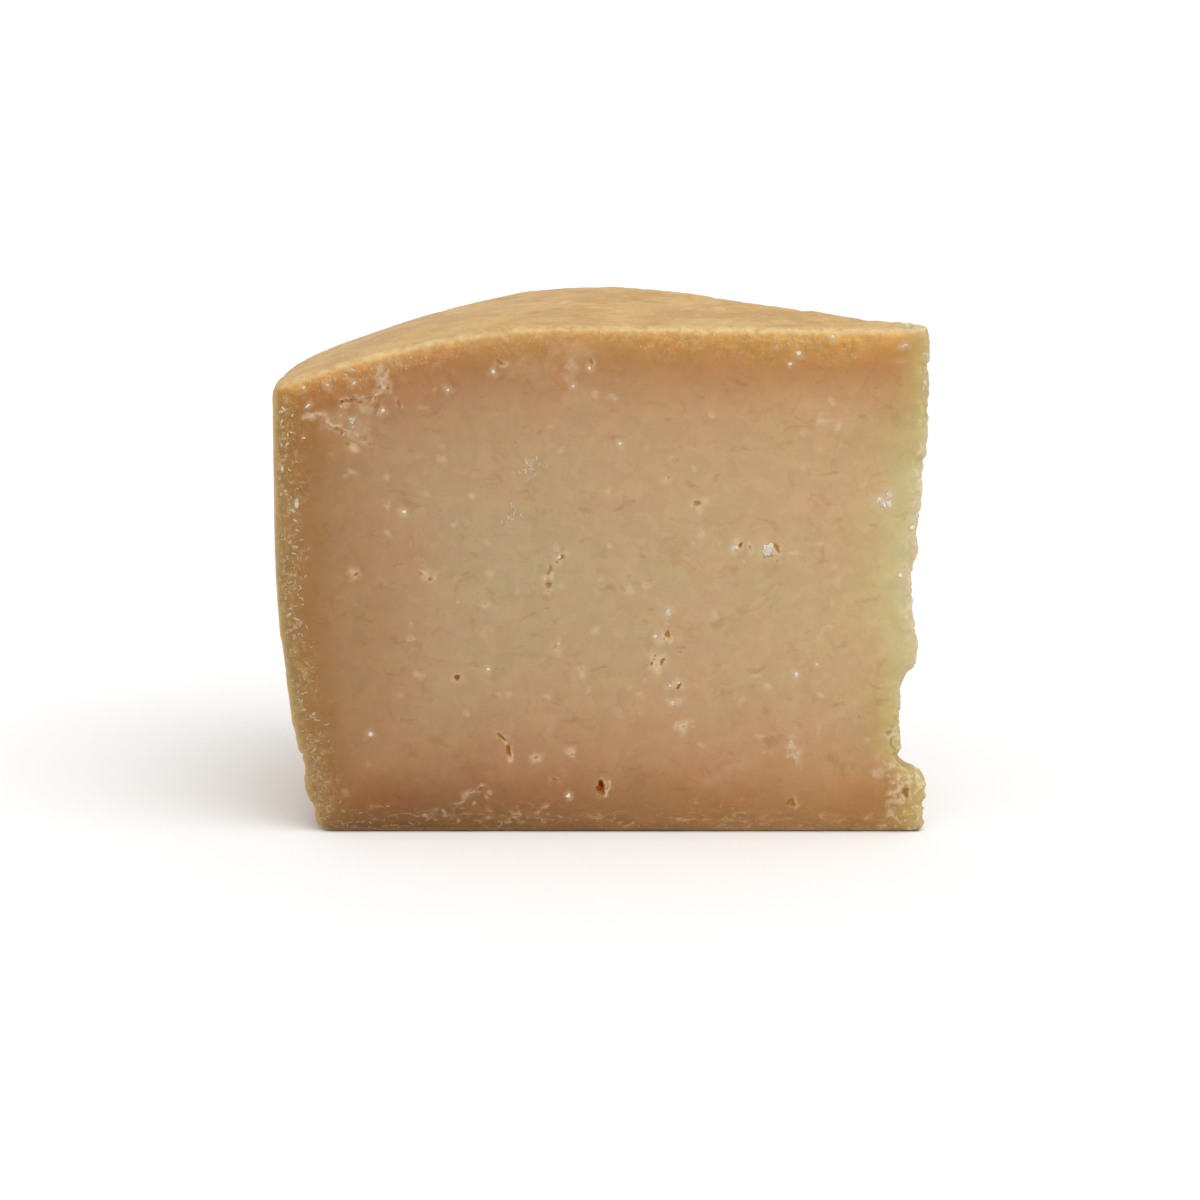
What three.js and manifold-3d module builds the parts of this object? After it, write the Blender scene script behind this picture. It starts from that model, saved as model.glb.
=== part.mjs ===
// A wedge of hard, aged cheese, cut from a drum-shaped wheel about 256 mm across.
//
// Millimetres, +Z up. The wedge stands on the wheel's flat base. Its front cut face looks
// along -Y, its rind is on the left and its broken tip points along +X. The origin is the
// middle of the bounding box, at the height of the base.
//
// The wheel is a lathed profile. Two knife cuts that meet near the wheel's axis leave the
// wedge, a rough fracture takes its sharp tip off, and lumps of many sizes are cut out of it:
// the eyes in the paste, the torn places, and the nicks in the upright edges.

import * as THREE from 'three';
import { mergeVertices } from 'three/addons/utils/BufferGeometryUtils.js';
import Module from 'manifold-3d';

const wasm = await Module();
wasm.setup();

// ---------------------------------------------------------------- driving dimensions

// The wheel
const WHEEL_RADIUS = 128.1;
const WHEEL_HEIGHT = 99.3;
const TOP_SAG = 1.0; // the top sinks by this much towards the wheel's axis
const SIDE_TUCK = 8.0; // the side is pulled in by this much at the base
const SIDE_TUCK_HEIGHT = 57;
const SIDE_TUCK_POWER = 1.9;
const RIM_ROUNDING = 1.9;
const BASE_ROUNDING = 1.3;
const PROFILE_STEP = 4;
const LATHE_STEP_DEGREES = 2;
const RIND_WAVE = 0.35; // gentle unevenness of the rind
const RIND_WAVE_LENGTH = 17;

// The top's shoulder: how much lower the top is at the rim than in the middle, how far in it
// starts to fall, and how sharply it bends. A wheel made by hand differs from side to side.
const FRONT_SHOULDER = { drop: 11.9, reach: 55, power: 1.75 };
const BACK_SHOULDER = { drop: 13.7, reach: 84, power: 3.1 };

// The wedge
const WEDGE_DEGREES = 37.2;
const BACK_CUT_OFFSET = 1.8; // the back cut misses the wheel's axis by this much
const TIP_LOST = 3.8; // the tip is broken off this far from the wheel's axis

// The broken tip, seen from the front: it leans in from the top to the middle, and has
// hollows (deep > 0) and a foot that stands out (deep < 0), each centred at a height.
const TIP_LEAN = 2.1;
const TIP_LEAN_FROM = 86;
const TIP_LEAN_TO = 54;
const TIP_RELIEF = [
  { up: 51.3, reach: 2.2, deep: 0.5 },
  { up: 46.0, reach: 5.8, deep: 0.8 },
  { up: 36.5, reach: 4.5, deep: -0.4 },
  { up: 22.0, reach: 9.5, deep: 2.9 },
  { up: 27.4, reach: 2.2, deep: 0.4 },
  { up: 2.6, reach: 10.0, deep: -2.1 },
];
const TIP_RELIEF_POWER = 6; // how steeply the hollows and the foot begin
const TIP_ROUGHNESS = 0.55;
const TIP_GRAIN = 4.2;
const TIP_GRID = 1.9;

// Eyes in the front face: how far along it from the rind, how far up, their width, height
// and depth, and how far they lean over.
const FRONT_EYES = [
  { along: 62.0, up: 9.4, wide: 2.0, high: 3.1, deep: 2.6, lean: 12 },
  { along: 34.3, up: 30.7, wide: 1.4, high: 1.4, deep: 1.6, lean: 0 },
  { along: 42.7, up: 19.2, wide: 0.9, high: 2.6, deep: 1.2, lean: 52 },
  { along: 44.3, up: 16.3, wide: 1.1, high: 2.6, deep: 1.4, lean: -8 },
  { along: 80.4, up: 64.9, wide: 1.6, high: 1.4, deep: 1.4, lean: 0 },
  { along: 72.4, up: 36.0, wide: 1.5, high: 1.9, deep: 1.2, lean: -30 },
  { along: 73.2, up: 33.6, wide: 1.4, high: 1.9, deep: 1.2, lean: 20 },
  { along: 74.8, up: 39.7, wide: 1.6, high: 1.6, deep: 1.1, lean: 0 },
  { along: 88.8, up: 57.2, wide: 1.2, high: 2.9, deep: 1.1, lean: -14 },
  { along: 96.2, up: 56.8, wide: 1.3, high: 3.2, deep: 1.1, lean: 10 },
  { along: 14.8, up: 51.8, wide: 1.6, high: 1.6, deep: 0.9, lean: 0 },
  { along: 28.6, up: 50.6, wide: 2.1, high: 1.4, deep: 0.9, lean: 30 },
  { along: 76.7, up: 30.0, wide: 1.6, high: 1.4, deep: 1.0, lean: 0 },
  { along: 78.2, up: 21.3, wide: 1.9, high: 1.9, deep: 1.1, lean: 0 },
  { along: 49.6, up: 14.6, wide: 2.3, high: 1.6, deep: 0.9, lean: -25 },
  { along: 98.6, up: 6.0, wide: 1.8, high: 1.8, deep: 1.2, lean: 0 },
  { along: 42.9, up: 92.0, wide: 1.5, high: 0.9, deep: 0.9, lean: 30 },
  { along: 60.2, up: 92.1, wide: 0.9, high: 1.8, deep: 0.9, lean: -12 },
];

// Torn places in the front face: chains of shallow lumps from one point to another.
const FRONT_TEARS = [
  { from: [4.0, 78.8], to: [9.0, 82.4], lumps: 4, wide: 1.7, deep: 0.5 },
  { from: [9.4, 82.0], to: [14.6, 78.2], lumps: 4, wide: 1.5, deep: 0.5 },
  { from: [12.2, 84.8], to: [19.6, 85.4], lumps: 5, wide: 1.8, deep: 0.7 },
  { from: [18.6, 91.0], to: [21.6, 87.0], lumps: 3, wide: 1.7, deep: 0.6 },
  { from: [54.2, 54.9], to: [51.4, 49.4], lumps: 4, wide: 1.5, deep: 0.8 },
  { from: [38.6, 9.4], to: [34.0, 6.4], lumps: 3, wide: 1.6, deep: 0.5 },
  { from: [97.8, 17.5], to: [100.0, 12.6], lumps: 3, wide: 1.3, deep: 0.5 },
  { from: [117.6, 21.0], to: [118.6, 14.5], lumps: 4, wide: 2.2, deep: 0.9 },
  { from: [118.4, 13.2], to: [120.6, 7.6], lumps: 4, wide: 2.6, deep: 1.3 },
  { from: [120.4, 7.0], to: [118.6, 2.2], lumps: 3, wide: 2.2, deep: 0.8 },
  { from: [122.6, 9.5], to: [123.6, 2.6], lumps: 3, wide: 2.6, deep: 0.8 },
];

// Chips along the foot of the rind, by their height and size.
const FOOT_CHIPS = [
  { up: 13.2, high: 5.2, deep: 0.8 },
  { up: 2.6, high: 3.0, deep: 0.9 },
];

// What is scattered: eyes on the back face, nicks down the upright edges of the rind and of
// the tip, and shallow dimples on the rind.
const BACK_EYES = 19;
const BACK_EYE_SIZE = [1.1, 2.8];
const BACK_TEARS = 4;
const EDGE_NICKS = 7;
const EDGE_NICK_SIZE = [1.2, 2.6];
const RIND_DIMPLES = 12;
const RIND_DIMPLE_SIZE = [1.8, 4.2];
const CLEAR_OF_BASE = 3; // scattered marks stay this far above the base
const FINE_LUMP = 2.5; // lumps wider than this are rounder
const LUMP_TURN = 0.31;
const LUMP_WAVES = 1.6;
const LUMP_UNEVENNESS = 0.22;
const SEED = 2417;

// ---------------------------------------------------------------- chance and noise

function randomStream(seed) {
  let state = seed;
  return () => {
    state = (state + 0x6d2b79f5) | 0;
    let t = Math.imul(state ^ (state >>> 15), 1 | state);
    t = (t + Math.imul(t ^ (t >>> 7), 61 | t)) ^ t;
    return ((t ^ (t >>> 14)) >>> 0) / 4294967296;
  };
}

const random = randomStream(SEED);
const between = (low, high) => low + (high - low) * random();

// A repeatable value from -1 to 1 at each corner of a lattice.
function cornerValue(i, j, k, seed) {
  const wave = Math.sin(i * 127.1 + j * 311.7 + k * 74.7 + seed * 19.19) * 43758.5453;
  return 2 * (wave - Math.floor(wave)) - 1;
}

// Smooth noise from -1 to 1 over space measured in lattice steps.
function noise(x, y, z, seed) {
  const cell = [Math.floor(x), Math.floor(y), Math.floor(z)];
  const ease = (t) => t * t * (3 - 2 * t);
  const part = [ease(x - cell[0]), ease(y - cell[1]), ease(z - cell[2])];
  let sum = 0;
  const share = (axis, side) => (side ? part[axis] : 1 - part[axis]);
  for (const i of [0, 1]) {
    for (const j of [0, 1]) {
      for (const k of [0, 1]) {
        const corner = cornerValue(cell[0] + i, cell[1] + j, cell[2] + k, seed);
        sum += share(0, i) * share(1, j) * share(2, k) * corner;
      }
    }
  }
  return sum;
}

// Height of the rim at the front cut.
const RIM_HEIGHT = WHEEL_HEIGHT - FRONT_SHOULDER.drop;

// The front cut runs from the wheel's axis along -X. The back cut is turned from it.
const WEDGE_ANGLE = THREE.MathUtils.degToRad(WEDGE_DEGREES);
const BACK_DIRECTION = new THREE.Vector2(-Math.cos(WEDGE_ANGLE), Math.sin(WEDGE_ANGLE));

// The point of the back cut that is nearest to the wheel's axis, and where the cuts meet.
const BACK_START = new THREE.Vector2(Math.sin(WEDGE_ANGLE), Math.cos(WEDGE_ANGLE))
  .multiplyScalar(BACK_CUT_OFFSET);
const CUTS_MEET = new THREE.Vector2(BACK_CUT_OFFSET / Math.sin(WEDGE_ANGLE), 0);

// ---------------------------------------------------------------- closed bodies

// A closed geometry as a solid: only positions, shared corners merged, no empty triangles.
function solidFrom(geometry) {
  geometry.deleteAttribute('normal');
  geometry.deleteAttribute('uv');
  const merged = mergeVertices(geometry, 1e-4);
  const corners = merged.index.array;
  const triangles = [];
  for (let i = 0; i < corners.length; i += 3) {
    const [a, b, c] = [corners[i], corners[i + 1], corners[i + 2]];
    if (a !== b && b !== c && c !== a) triangles.push(a, b, c);
  }
  return new wasm.Manifold(new wasm.Mesh({
    numProp: 3,
    vertProperties: new Float32Array(merged.attributes.position.array),
    triVerts: new Uint32Array(triangles),
  }));
}

function geometryFrom(solid) {
  const mesh = solid.getMesh();
  const geometry = new THREE.BufferGeometry();
  geometry.setAttribute('position', new THREE.BufferAttribute(mesh.vertProperties, 3));
  geometry.setIndex(new THREE.BufferAttribute(mesh.triVerts, 1));
  return geometry;
}

// Moves every vertex of a geometry by a function that changes the point it is given.
function reshape(geometry, change) {
  const position = geometry.attributes.position;
  const point = new THREE.Vector3();
  for (let i = 0; i < position.count; i += 1) {
    point.fromBufferAttribute(position, i);
    change(point);
    position.setXYZ(i, point.x, point.y, point.z);
  }
  return geometry;
}

// ---------------------------------------------------------------- the wheel

// Height of the top at a distance in from the rim, with a shoulder of the given shape.
function topHeight(inFromRim, { drop, reach, power }) {
  const shoulder = drop * Math.max(0, 1 - inFromRim / reach) ** power;
  const sagStart = FRONT_SHOULDER.reach;
  const sag = (TOP_SAG * Math.max(0, inFromRim - sagStart)) / (WHEEL_RADIUS - sagStart);
  return WHEEL_HEIGHT - shoulder - sag;
}

// Radius of the side at a height.
function sideRadius(up) {
  return WHEEL_RADIUS - SIDE_TUCK * Math.max(0, 1 - up / SIDE_TUCK_HEIGHT) ** SIDE_TUCK_POWER;
}

// Half of the wheel's cross-section, from the axis at the base round to the axis on top.
function wheelProfile() {
  const points = [new THREE.Vector2(0, 0)];
  const baseEdge = new THREE.QuadraticBezierCurve(
    new THREE.Vector2(sideRadius(0) - BASE_ROUNDING, 0),
    new THREE.Vector2(sideRadius(0), 0),
    new THREE.Vector2(sideRadius(BASE_ROUNDING), BASE_ROUNDING),
  );
  points.push(...baseEdge.getPoints(3));

  const sideTop = RIM_HEIGHT - RIM_ROUNDING;
  const sideSteps = Math.round((sideTop - BASE_ROUNDING) / PROFILE_STEP);
  for (let i = 1; i < sideSteps; i += 1) {
    const up = BASE_ROUNDING + ((sideTop - BASE_ROUNDING) * i) / sideSteps;
    points.push(new THREE.Vector2(sideRadius(up), up));
  }

  const rimEdge = new THREE.QuadraticBezierCurve(
    new THREE.Vector2(WHEEL_RADIUS, sideTop),
    new THREE.Vector2(WHEEL_RADIUS, RIM_HEIGHT),
    new THREE.Vector2(WHEEL_RADIUS - RIM_ROUNDING, topHeight(RIM_ROUNDING, FRONT_SHOULDER)),
  );
  points.push(...rimEdge.getPoints(5));

  const topSteps = Math.round((WHEEL_RADIUS - RIM_ROUNDING) / PROFILE_STEP);
  for (let i = 1; i <= topSteps; i += 1) {
    const inFromRim = RIM_ROUNDING + ((WHEEL_RADIUS - RIM_ROUNDING) * i) / topSteps;
    points.push(new THREE.Vector2(WHEEL_RADIUS - inFromRim, topHeight(inFromRim, FRONT_SHOULDER)));
  }
  points[points.length - 1].x = 0;
  return points;
}

// How much higher or lower the top is at a point than at the front cut.
function backRise(point, radius) {
  const turnedBack = Math.max(0, Math.PI - Math.abs(Math.atan2(point.y, point.x))) / WEDGE_ANGLE;
  const inFromRim = WHEEL_RADIUS - radius;
  const rise = topHeight(inFromRim, BACK_SHOULDER) - topHeight(inFromRim, FRONT_SHOULDER);
  const upperHalf = THREE.MathUtils.smoothstep(point.z, 0.5 * WHEEL_HEIGHT, RIM_HEIGHT);
  return rise * Math.min(1, turnedBack) * upperHalf;
}

// Waves the rind gently in and out, gives the back its own shoulder, and leaves the base flat.
function waveRind(point) {
  const [x, y, z] = point.toArray().map((value) => value / RIND_WAVE_LENGTH);
  const strength = RIND_WAVE * THREE.MathUtils.smoothstep(point.z, 0, 2 * PROFILE_STEP);
  const radius = Math.hypot(point.x, point.y);
  point.z += backRise(point, radius);
  if (radius > 0) {
    const push = 1 + (strength * noise(x, y, z, 1)) / radius;
    point.x *= push;
    point.y *= push;
  }
  point.z += strength * noise(x, y, z, 2);
}

// The whole wheel, turned so that both cuts pass between the edges of its faces.
function wheel() {
  const turns = Math.round(360 / LATHE_STEP_DEGREES);
  const start = THREE.MathUtils.degToRad(LATHE_STEP_DEGREES / 2);
  const geometry = new THREE.LatheGeometry(wheelProfile(), turns, start);
  geometry.rotateX(Math.PI / 2);
  return solidFrom(reshape(geometry, waveRind));
}

// ---------------------------------------------------------------- the cuts

// The space between the two cuts, taller and longer than the wheel.
function wedgeSpace() {
  const length = 1.5 * WHEEL_RADIUS;
  const plan = new THREE.Shape([
    CUTS_MEET,
    BACK_DIRECTION.clone().multiplyScalar(length).add(BACK_START),
    new THREE.Vector2(-length, 0),
  ]);
  const extrusion = { depth: 1.5 * WHEEL_HEIGHT, bevelEnabled: false };
  const geometry = new THREE.ExtrudeGeometry(plan, extrusion);
  geometry.translate(0, 0, -0.2 * WHEEL_HEIGHT);
  return solidFrom(geometry);
}

// How far the broken tip stands back from its foremost upright line, at a height.
function tipSetback(up) {
  const leaning = THREE.MathUtils.smoothstep(TIP_LEAN_FROM - up, 0, TIP_LEAN_FROM - TIP_LEAN_TO);
  return TIP_RELIEF.reduce((sum, { up: middle, reach, deep }) => (
    sum + deep * Math.exp(-(((up - middle) / reach) ** TIP_RELIEF_POWER))
  ), TIP_LEAN * leaning);
}

// What the break took away: a block whose face towards the wedge is the rough fracture. The
// fracture is straight where it meets the base, so the wedge stands on a clean edge.
function brokenTip() {
  const [thick, wide, high] = [30, 26, 1.3 * WHEEL_HEIGHT];
  const rows = Math.round(high / TIP_GRID);
  const columns = Math.round(wide / TIP_GRID);
  const geometry = new THREE.BoxGeometry(thick, wide, high, 1, columns, rows);
  geometry.translate(thick / 2, wide / 4, WHEEL_HEIGHT / 2);
  reshape(geometry, (point) => {
    if (point.x > thick / 2) return;
    const coarse = noise(3, point.y / TIP_GRAIN, point.z / TIP_GRAIN, 3);
    const fine = noise(5, (2.3 * point.y) / TIP_GRAIN, (2.3 * point.z) / TIP_GRAIN, 4);
    const rough = TIP_ROUGHNESS * THREE.MathUtils.smoothstep(point.z, TIP_GRID, 3 * TIP_GRID);
    point.x = -TIP_LOST - tipSetback(Math.max(0, point.z)) + rough * (0.7 * coarse + 0.3 * fine);
  });
  return solidFrom(geometry);
}

// ---------------------------------------------------------------- eyes, tears and nicks

// An uneven lump of the given widths, turned about Y by lean and then about Z by heading.
// Small ones have twenty faces, large ones eighty. The first turn keeps their corners out of
// the flat face that they are cut from.
function lump(at, [sizeX, sizeY, sizeZ], lean = 0, heading = 0) {
  const detail = Math.max(sizeX, sizeZ) > FINE_LUMP ? 1 : 0;
  const geometry = new THREE.IcosahedronGeometry(1, detail);
  const seed = Math.floor(1000 * random());
  reshape(geometry, (point) => {
    const [x, y, z] = point.toArray().map((value) => LUMP_WAVES * value);
    point.multiplyScalar(1 + LUMP_UNEVENNESS * noise(x, y, z, seed));
  });
  geometry.rotateX(LUMP_TURN);
  geometry.rotateZ(LUMP_TURN);
  geometry.scale(sizeX / 2, sizeY / 2, sizeZ / 2);
  geometry.rotateY(lean);
  geometry.rotateZ(heading);
  geometry.translate(at.x, at.y, at.z);
  return solidFrom(geometry);
}

// A point of the front face, from the distance along it from the rind and the height.
const onFront = (along, up) => new THREE.Vector3(along - WHEEL_RADIUS, 0, up);

// A point of the back face, likewise.
function onBack(along, up) {
  const plan = BACK_DIRECTION.clone().multiplyScalar(WHEEL_RADIUS - along).add(BACK_START);
  return new THREE.Vector3(plan.x, plan.y, up);
}

function frontEyes() {
  return FRONT_EYES.map(({ along, up, wide, high, deep, lean }) => (
    lump(onFront(along, up), [wide, 2 * deep, high], THREE.MathUtils.degToRad(lean))
  ));
}

// The lumps of one tear, spaced from one point of a face to another.
function tear({ from, to, lumps, wide, deep }, onFace, heading) {
  const cuts = [];
  for (let i = 0; i < lumps; i += 1) {
    const share = (i + 0.5) / lumps;
    const along = THREE.MathUtils.lerp(from[0], to[0], share) + between(-0.25, 0.25) * wide;
    const up = THREE.MathUtils.lerp(from[1], to[1], share) + between(-0.25, 0.25) * wide;
    const size = wide * between(0.75, 1.25);
    const flat = between(0.6, 0.9);
    const shape = [size, 2 * deep * between(0.7, 1.1), size * flat];
    cuts.push(lump(onFace(along, up), shape, between(0, Math.PI), heading));
  }
  return cuts;
}

// Eyes and a few tears strewn over the back face, clear of its edges.
function backMarks() {
  const marks = [];
  const place = () => [between(8, 0.9 * WHEEL_RADIUS), between(8, RIM_HEIGHT - CLEAR_OF_BASE)];
  for (let i = 0; i < BACK_EYES; i += 1) {
    const [along, up] = place();
    const size = THREE.MathUtils.lerp(...BACK_EYE_SIZE, random() ** 2);
    const shape = [size, size * between(0.9, 1.5), size * between(0.6, 1.2)];
    marks.push(lump(onBack(along, up), shape, between(-1, 1), -WEDGE_ANGLE));
  }
  for (let i = 0; i < BACK_TEARS; i += 1) {
    const from = place();
    const to = [from[0] + between(-5, 5), from[1] - between(2, 6)];
    marks.push(...tear({ from, to, lumps: 3, wide: 1.7, deep: 0.6 }, onBack, -WEDGE_ANGLE));
  }
  return marks;
}

// Nicks down the two upright edges of the rind and the two of the tip.
function edgeNicks() {
  const nicks = [];
  for (const onFace of [onFront, onBack]) {
    for (let i = 0; i < EDGE_NICKS; i += 1) {
      const up = between(CLEAR_OF_BASE, RIM_HEIGHT);
      const size = between(...EDGE_NICK_SIZE);
      const along = WHEEL_RADIUS - sideRadius(up) - 0.1 * size;
      nicks.push(lump(onFace(along, up), [0.8 * size, 0.8 * size, size * between(0.8, 1.6)]));
    }
    for (let i = 0; i < EDGE_NICKS; i += 1) {
      const up = between(CLEAR_OF_BASE, WHEEL_HEIGHT - TOP_SAG);
      const size = 0.8 * between(...EDGE_NICK_SIZE);
      const along = WHEEL_RADIUS - TIP_LOST - tipSetback(up);
      nicks.push(lump(onFace(along, up), [size, 0.7 * size, size * between(0.7, 1.3)]));
    }
  }
  return nicks;
}

// Chips that run round the foot of the rind from the front edge, and fade out.
function footChips() {
  return FOOT_CHIPS.map(({ up, high, deep }) => {
    const wide = 9 * deep;
    const at = onFront(WHEEL_RADIUS - sideRadius(up) - 0.15 * deep, up);
    return lump(at, [2 * deep, wide, high]);
  });
}

// Shallow dimples where the rind was pressed or turned on its shelf.
function rindDimples() {
  const dimples = [];
  for (let i = 0; i < RIND_DIMPLES; i += 1) {
    const size = between(...RIND_DIMPLE_SIZE);
    const turn = Math.PI - WEDGE_ANGLE * between(0.08, 0.92);
    const onSide = i % 2 === 0;
    const up = onSide ? between(2 * CLEAR_OF_BASE, RIM_HEIGHT - 3 * CLEAR_OF_BASE) : 0;
    const radius = onSide ? sideRadius(up) : between(0.35, 0.92) * WHEEL_RADIUS;
    const height = onSide ? up : topHeight(WHEEL_RADIUS - radius, FRONT_SHOULDER);
    const at = new THREE.Vector3(radius * Math.cos(turn), radius * Math.sin(turn), height);
    const shape = onSide ? [0.7, size, size * between(0.5, 1)] : [size, size * between(0.5, 1), 0.7];
    dimples.push(lump(at, shape, 0, onSide ? turn : between(0, Math.PI)));
  }
  return dimples;
}

// ---------------------------------------------------------------- the wedge

function cheeseWedge() {
  let body = wheel().intersect(wedgeSpace()).subtract(brokenTip());
  const tears = FRONT_TEARS.flatMap((place) => tear(place, onFront, 0));
  const onCuts = [...frontEyes(), ...tears, ...backMarks()];
  const onRind = [...edgeNicks(), ...footChips(), ...rindDimples()];
  const cuts = [...onCuts, ...onRind];
  for (const cut of cuts) {
    body = body.subtract(cut);
  }
  const geometry = geometryFrom(body);
  geometry.computeBoundingBox();
  const { min, max } = geometry.boundingBox;
  geometry.translate(-(min.x + max.x) / 2, -(min.y + max.y) / 2, -min.z);

  const paste = new THREE.MeshStandardMaterial({
    color: 0xbb9f7a,
    roughness: 0.55,
    metalness: 0,
    flatShading: true,
  });
  const mesh = new THREE.Mesh(geometry, paste);
  mesh.name = 'cheese_wedge';
  return mesh;
}

const model = new THREE.Group();
model.name = 'cheese';
model.add(cheeseWedge());

export default model;
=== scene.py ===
"""A wedge of hard, aged cheese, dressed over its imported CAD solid.

The skin is the solid's own surface, made even, rounded at its edges and refined where it
carries marks. Pits, cracks and dents are pressed into it as relief. White crystals and pale
flakes are two joined meshes that lie on the cuts. Sizes are in millimetres until a mesh is done.
"""

import math

import bmesh
import bpy
import numpy as np
from mathutils import Matrix, Vector
from mathutils.bvhtree import BVHTree


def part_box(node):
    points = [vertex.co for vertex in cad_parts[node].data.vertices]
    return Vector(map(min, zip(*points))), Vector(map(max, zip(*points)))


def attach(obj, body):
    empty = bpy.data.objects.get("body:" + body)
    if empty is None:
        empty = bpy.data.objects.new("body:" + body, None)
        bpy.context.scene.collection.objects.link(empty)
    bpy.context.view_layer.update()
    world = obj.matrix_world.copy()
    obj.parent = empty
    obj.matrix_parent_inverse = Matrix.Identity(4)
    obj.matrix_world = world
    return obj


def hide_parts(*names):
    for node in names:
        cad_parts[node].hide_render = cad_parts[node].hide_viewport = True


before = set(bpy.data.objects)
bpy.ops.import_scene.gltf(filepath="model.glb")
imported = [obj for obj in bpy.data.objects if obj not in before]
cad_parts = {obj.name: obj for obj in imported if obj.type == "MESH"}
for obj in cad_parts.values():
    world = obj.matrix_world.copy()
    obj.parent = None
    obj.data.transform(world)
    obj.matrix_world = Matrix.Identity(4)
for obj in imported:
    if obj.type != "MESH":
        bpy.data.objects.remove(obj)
bpy.context.view_layer.update()

NODE = "cheese_wedge"
BODY = "root"
MM = 0.001

# ---- the wheel and its cuts

WHEEL_RADIUS = 128.1
WHEEL_HEIGHT = 99.3
TOP_SAG = 1.0
SIDE_TUCK = 8.0
SIDE_TUCK_HEIGHT = 57.0
SIDE_TUCK_POWER = 1.9
RIM_ROUNDING = 1.7
BASE_ROUNDING = 1.2
RIM_DRAWN_OUT = 0.55  # how far past the solid's side the skin's side stands
FOOT_TOP = 14.8  # height of the shelf above the tip's foot
HEEL_TOP = 19.0  # the side is crumbly below this
BULGE = (8.0, 4.2)  # height and spread of the side's bulge
CHIPPED = (15.5, 1.6)  # height and spread of the chipped edge above it
FRONT_SHOULDER = {"drop": 11.9, "reach": 55.0, "power": 1.75}
BACK_SHOULDER = {"drop": 13.7, "reach": 84.0, "power": 3.1}
WEDGE_ANGLE = math.radians(37.2)
BACK_CUT_OFFSET = 1.8

# How far in the side steps beside the front cut: heights, and the step at each.
HEEL_STEPS = (
    (0, 2.9, 4, 5.7, 6.2, 8.1, 8.8, 10.3, 11.1, 11.8, 14.4, 15.1, 15.7, 18, 21, 23, 26),
    (0.1, 0.1, 0.45, 0.6, 0.2, 0.25, 0.65, 0.6, 0.95, 0.6, 0.5, 0.85, 0, -0.15, -0.3, -0.1, 0),
)

LOW, HIGH = [np.array(corner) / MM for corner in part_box(NODE)]
AXIS = np.array([LOW[0] + WHEEL_RADIUS + 0.1, LOW[1]])

# ---- the skin's mesh

VOXEL = 1.2
EDGE_PASSES = 2  # rounds the edges off
RIND_PASSES = 6  # takes the solid's flat facets out of the rind
TIP_PASSES = 5  # softens the broken tip before it gets its own relief
CUT_PASSES = 10  # levels a cut where its coarse pits were filled
RIND_STEPS = 3  # times that points are drawn onto the rind
FLAT_FROM, FLAT_TO = 0.9, 2.2  # a cut is truly flat this far in from its outline
DEEPEST_EYE = 4.5  # the solid's own eyes in a cut are no deeper
ON_CUT = 2.5  # points this near a cut's plane take its marks
REFINED = 2.6  # faces this near a cut's plane are split where marks lie
PIT_LIP, CRACK_LIP = 0.14, 0.16  # heights of the raised lips
LIP_PALENESS = 0.9
PALE_RISE = 0.05
SEED = 51

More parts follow.
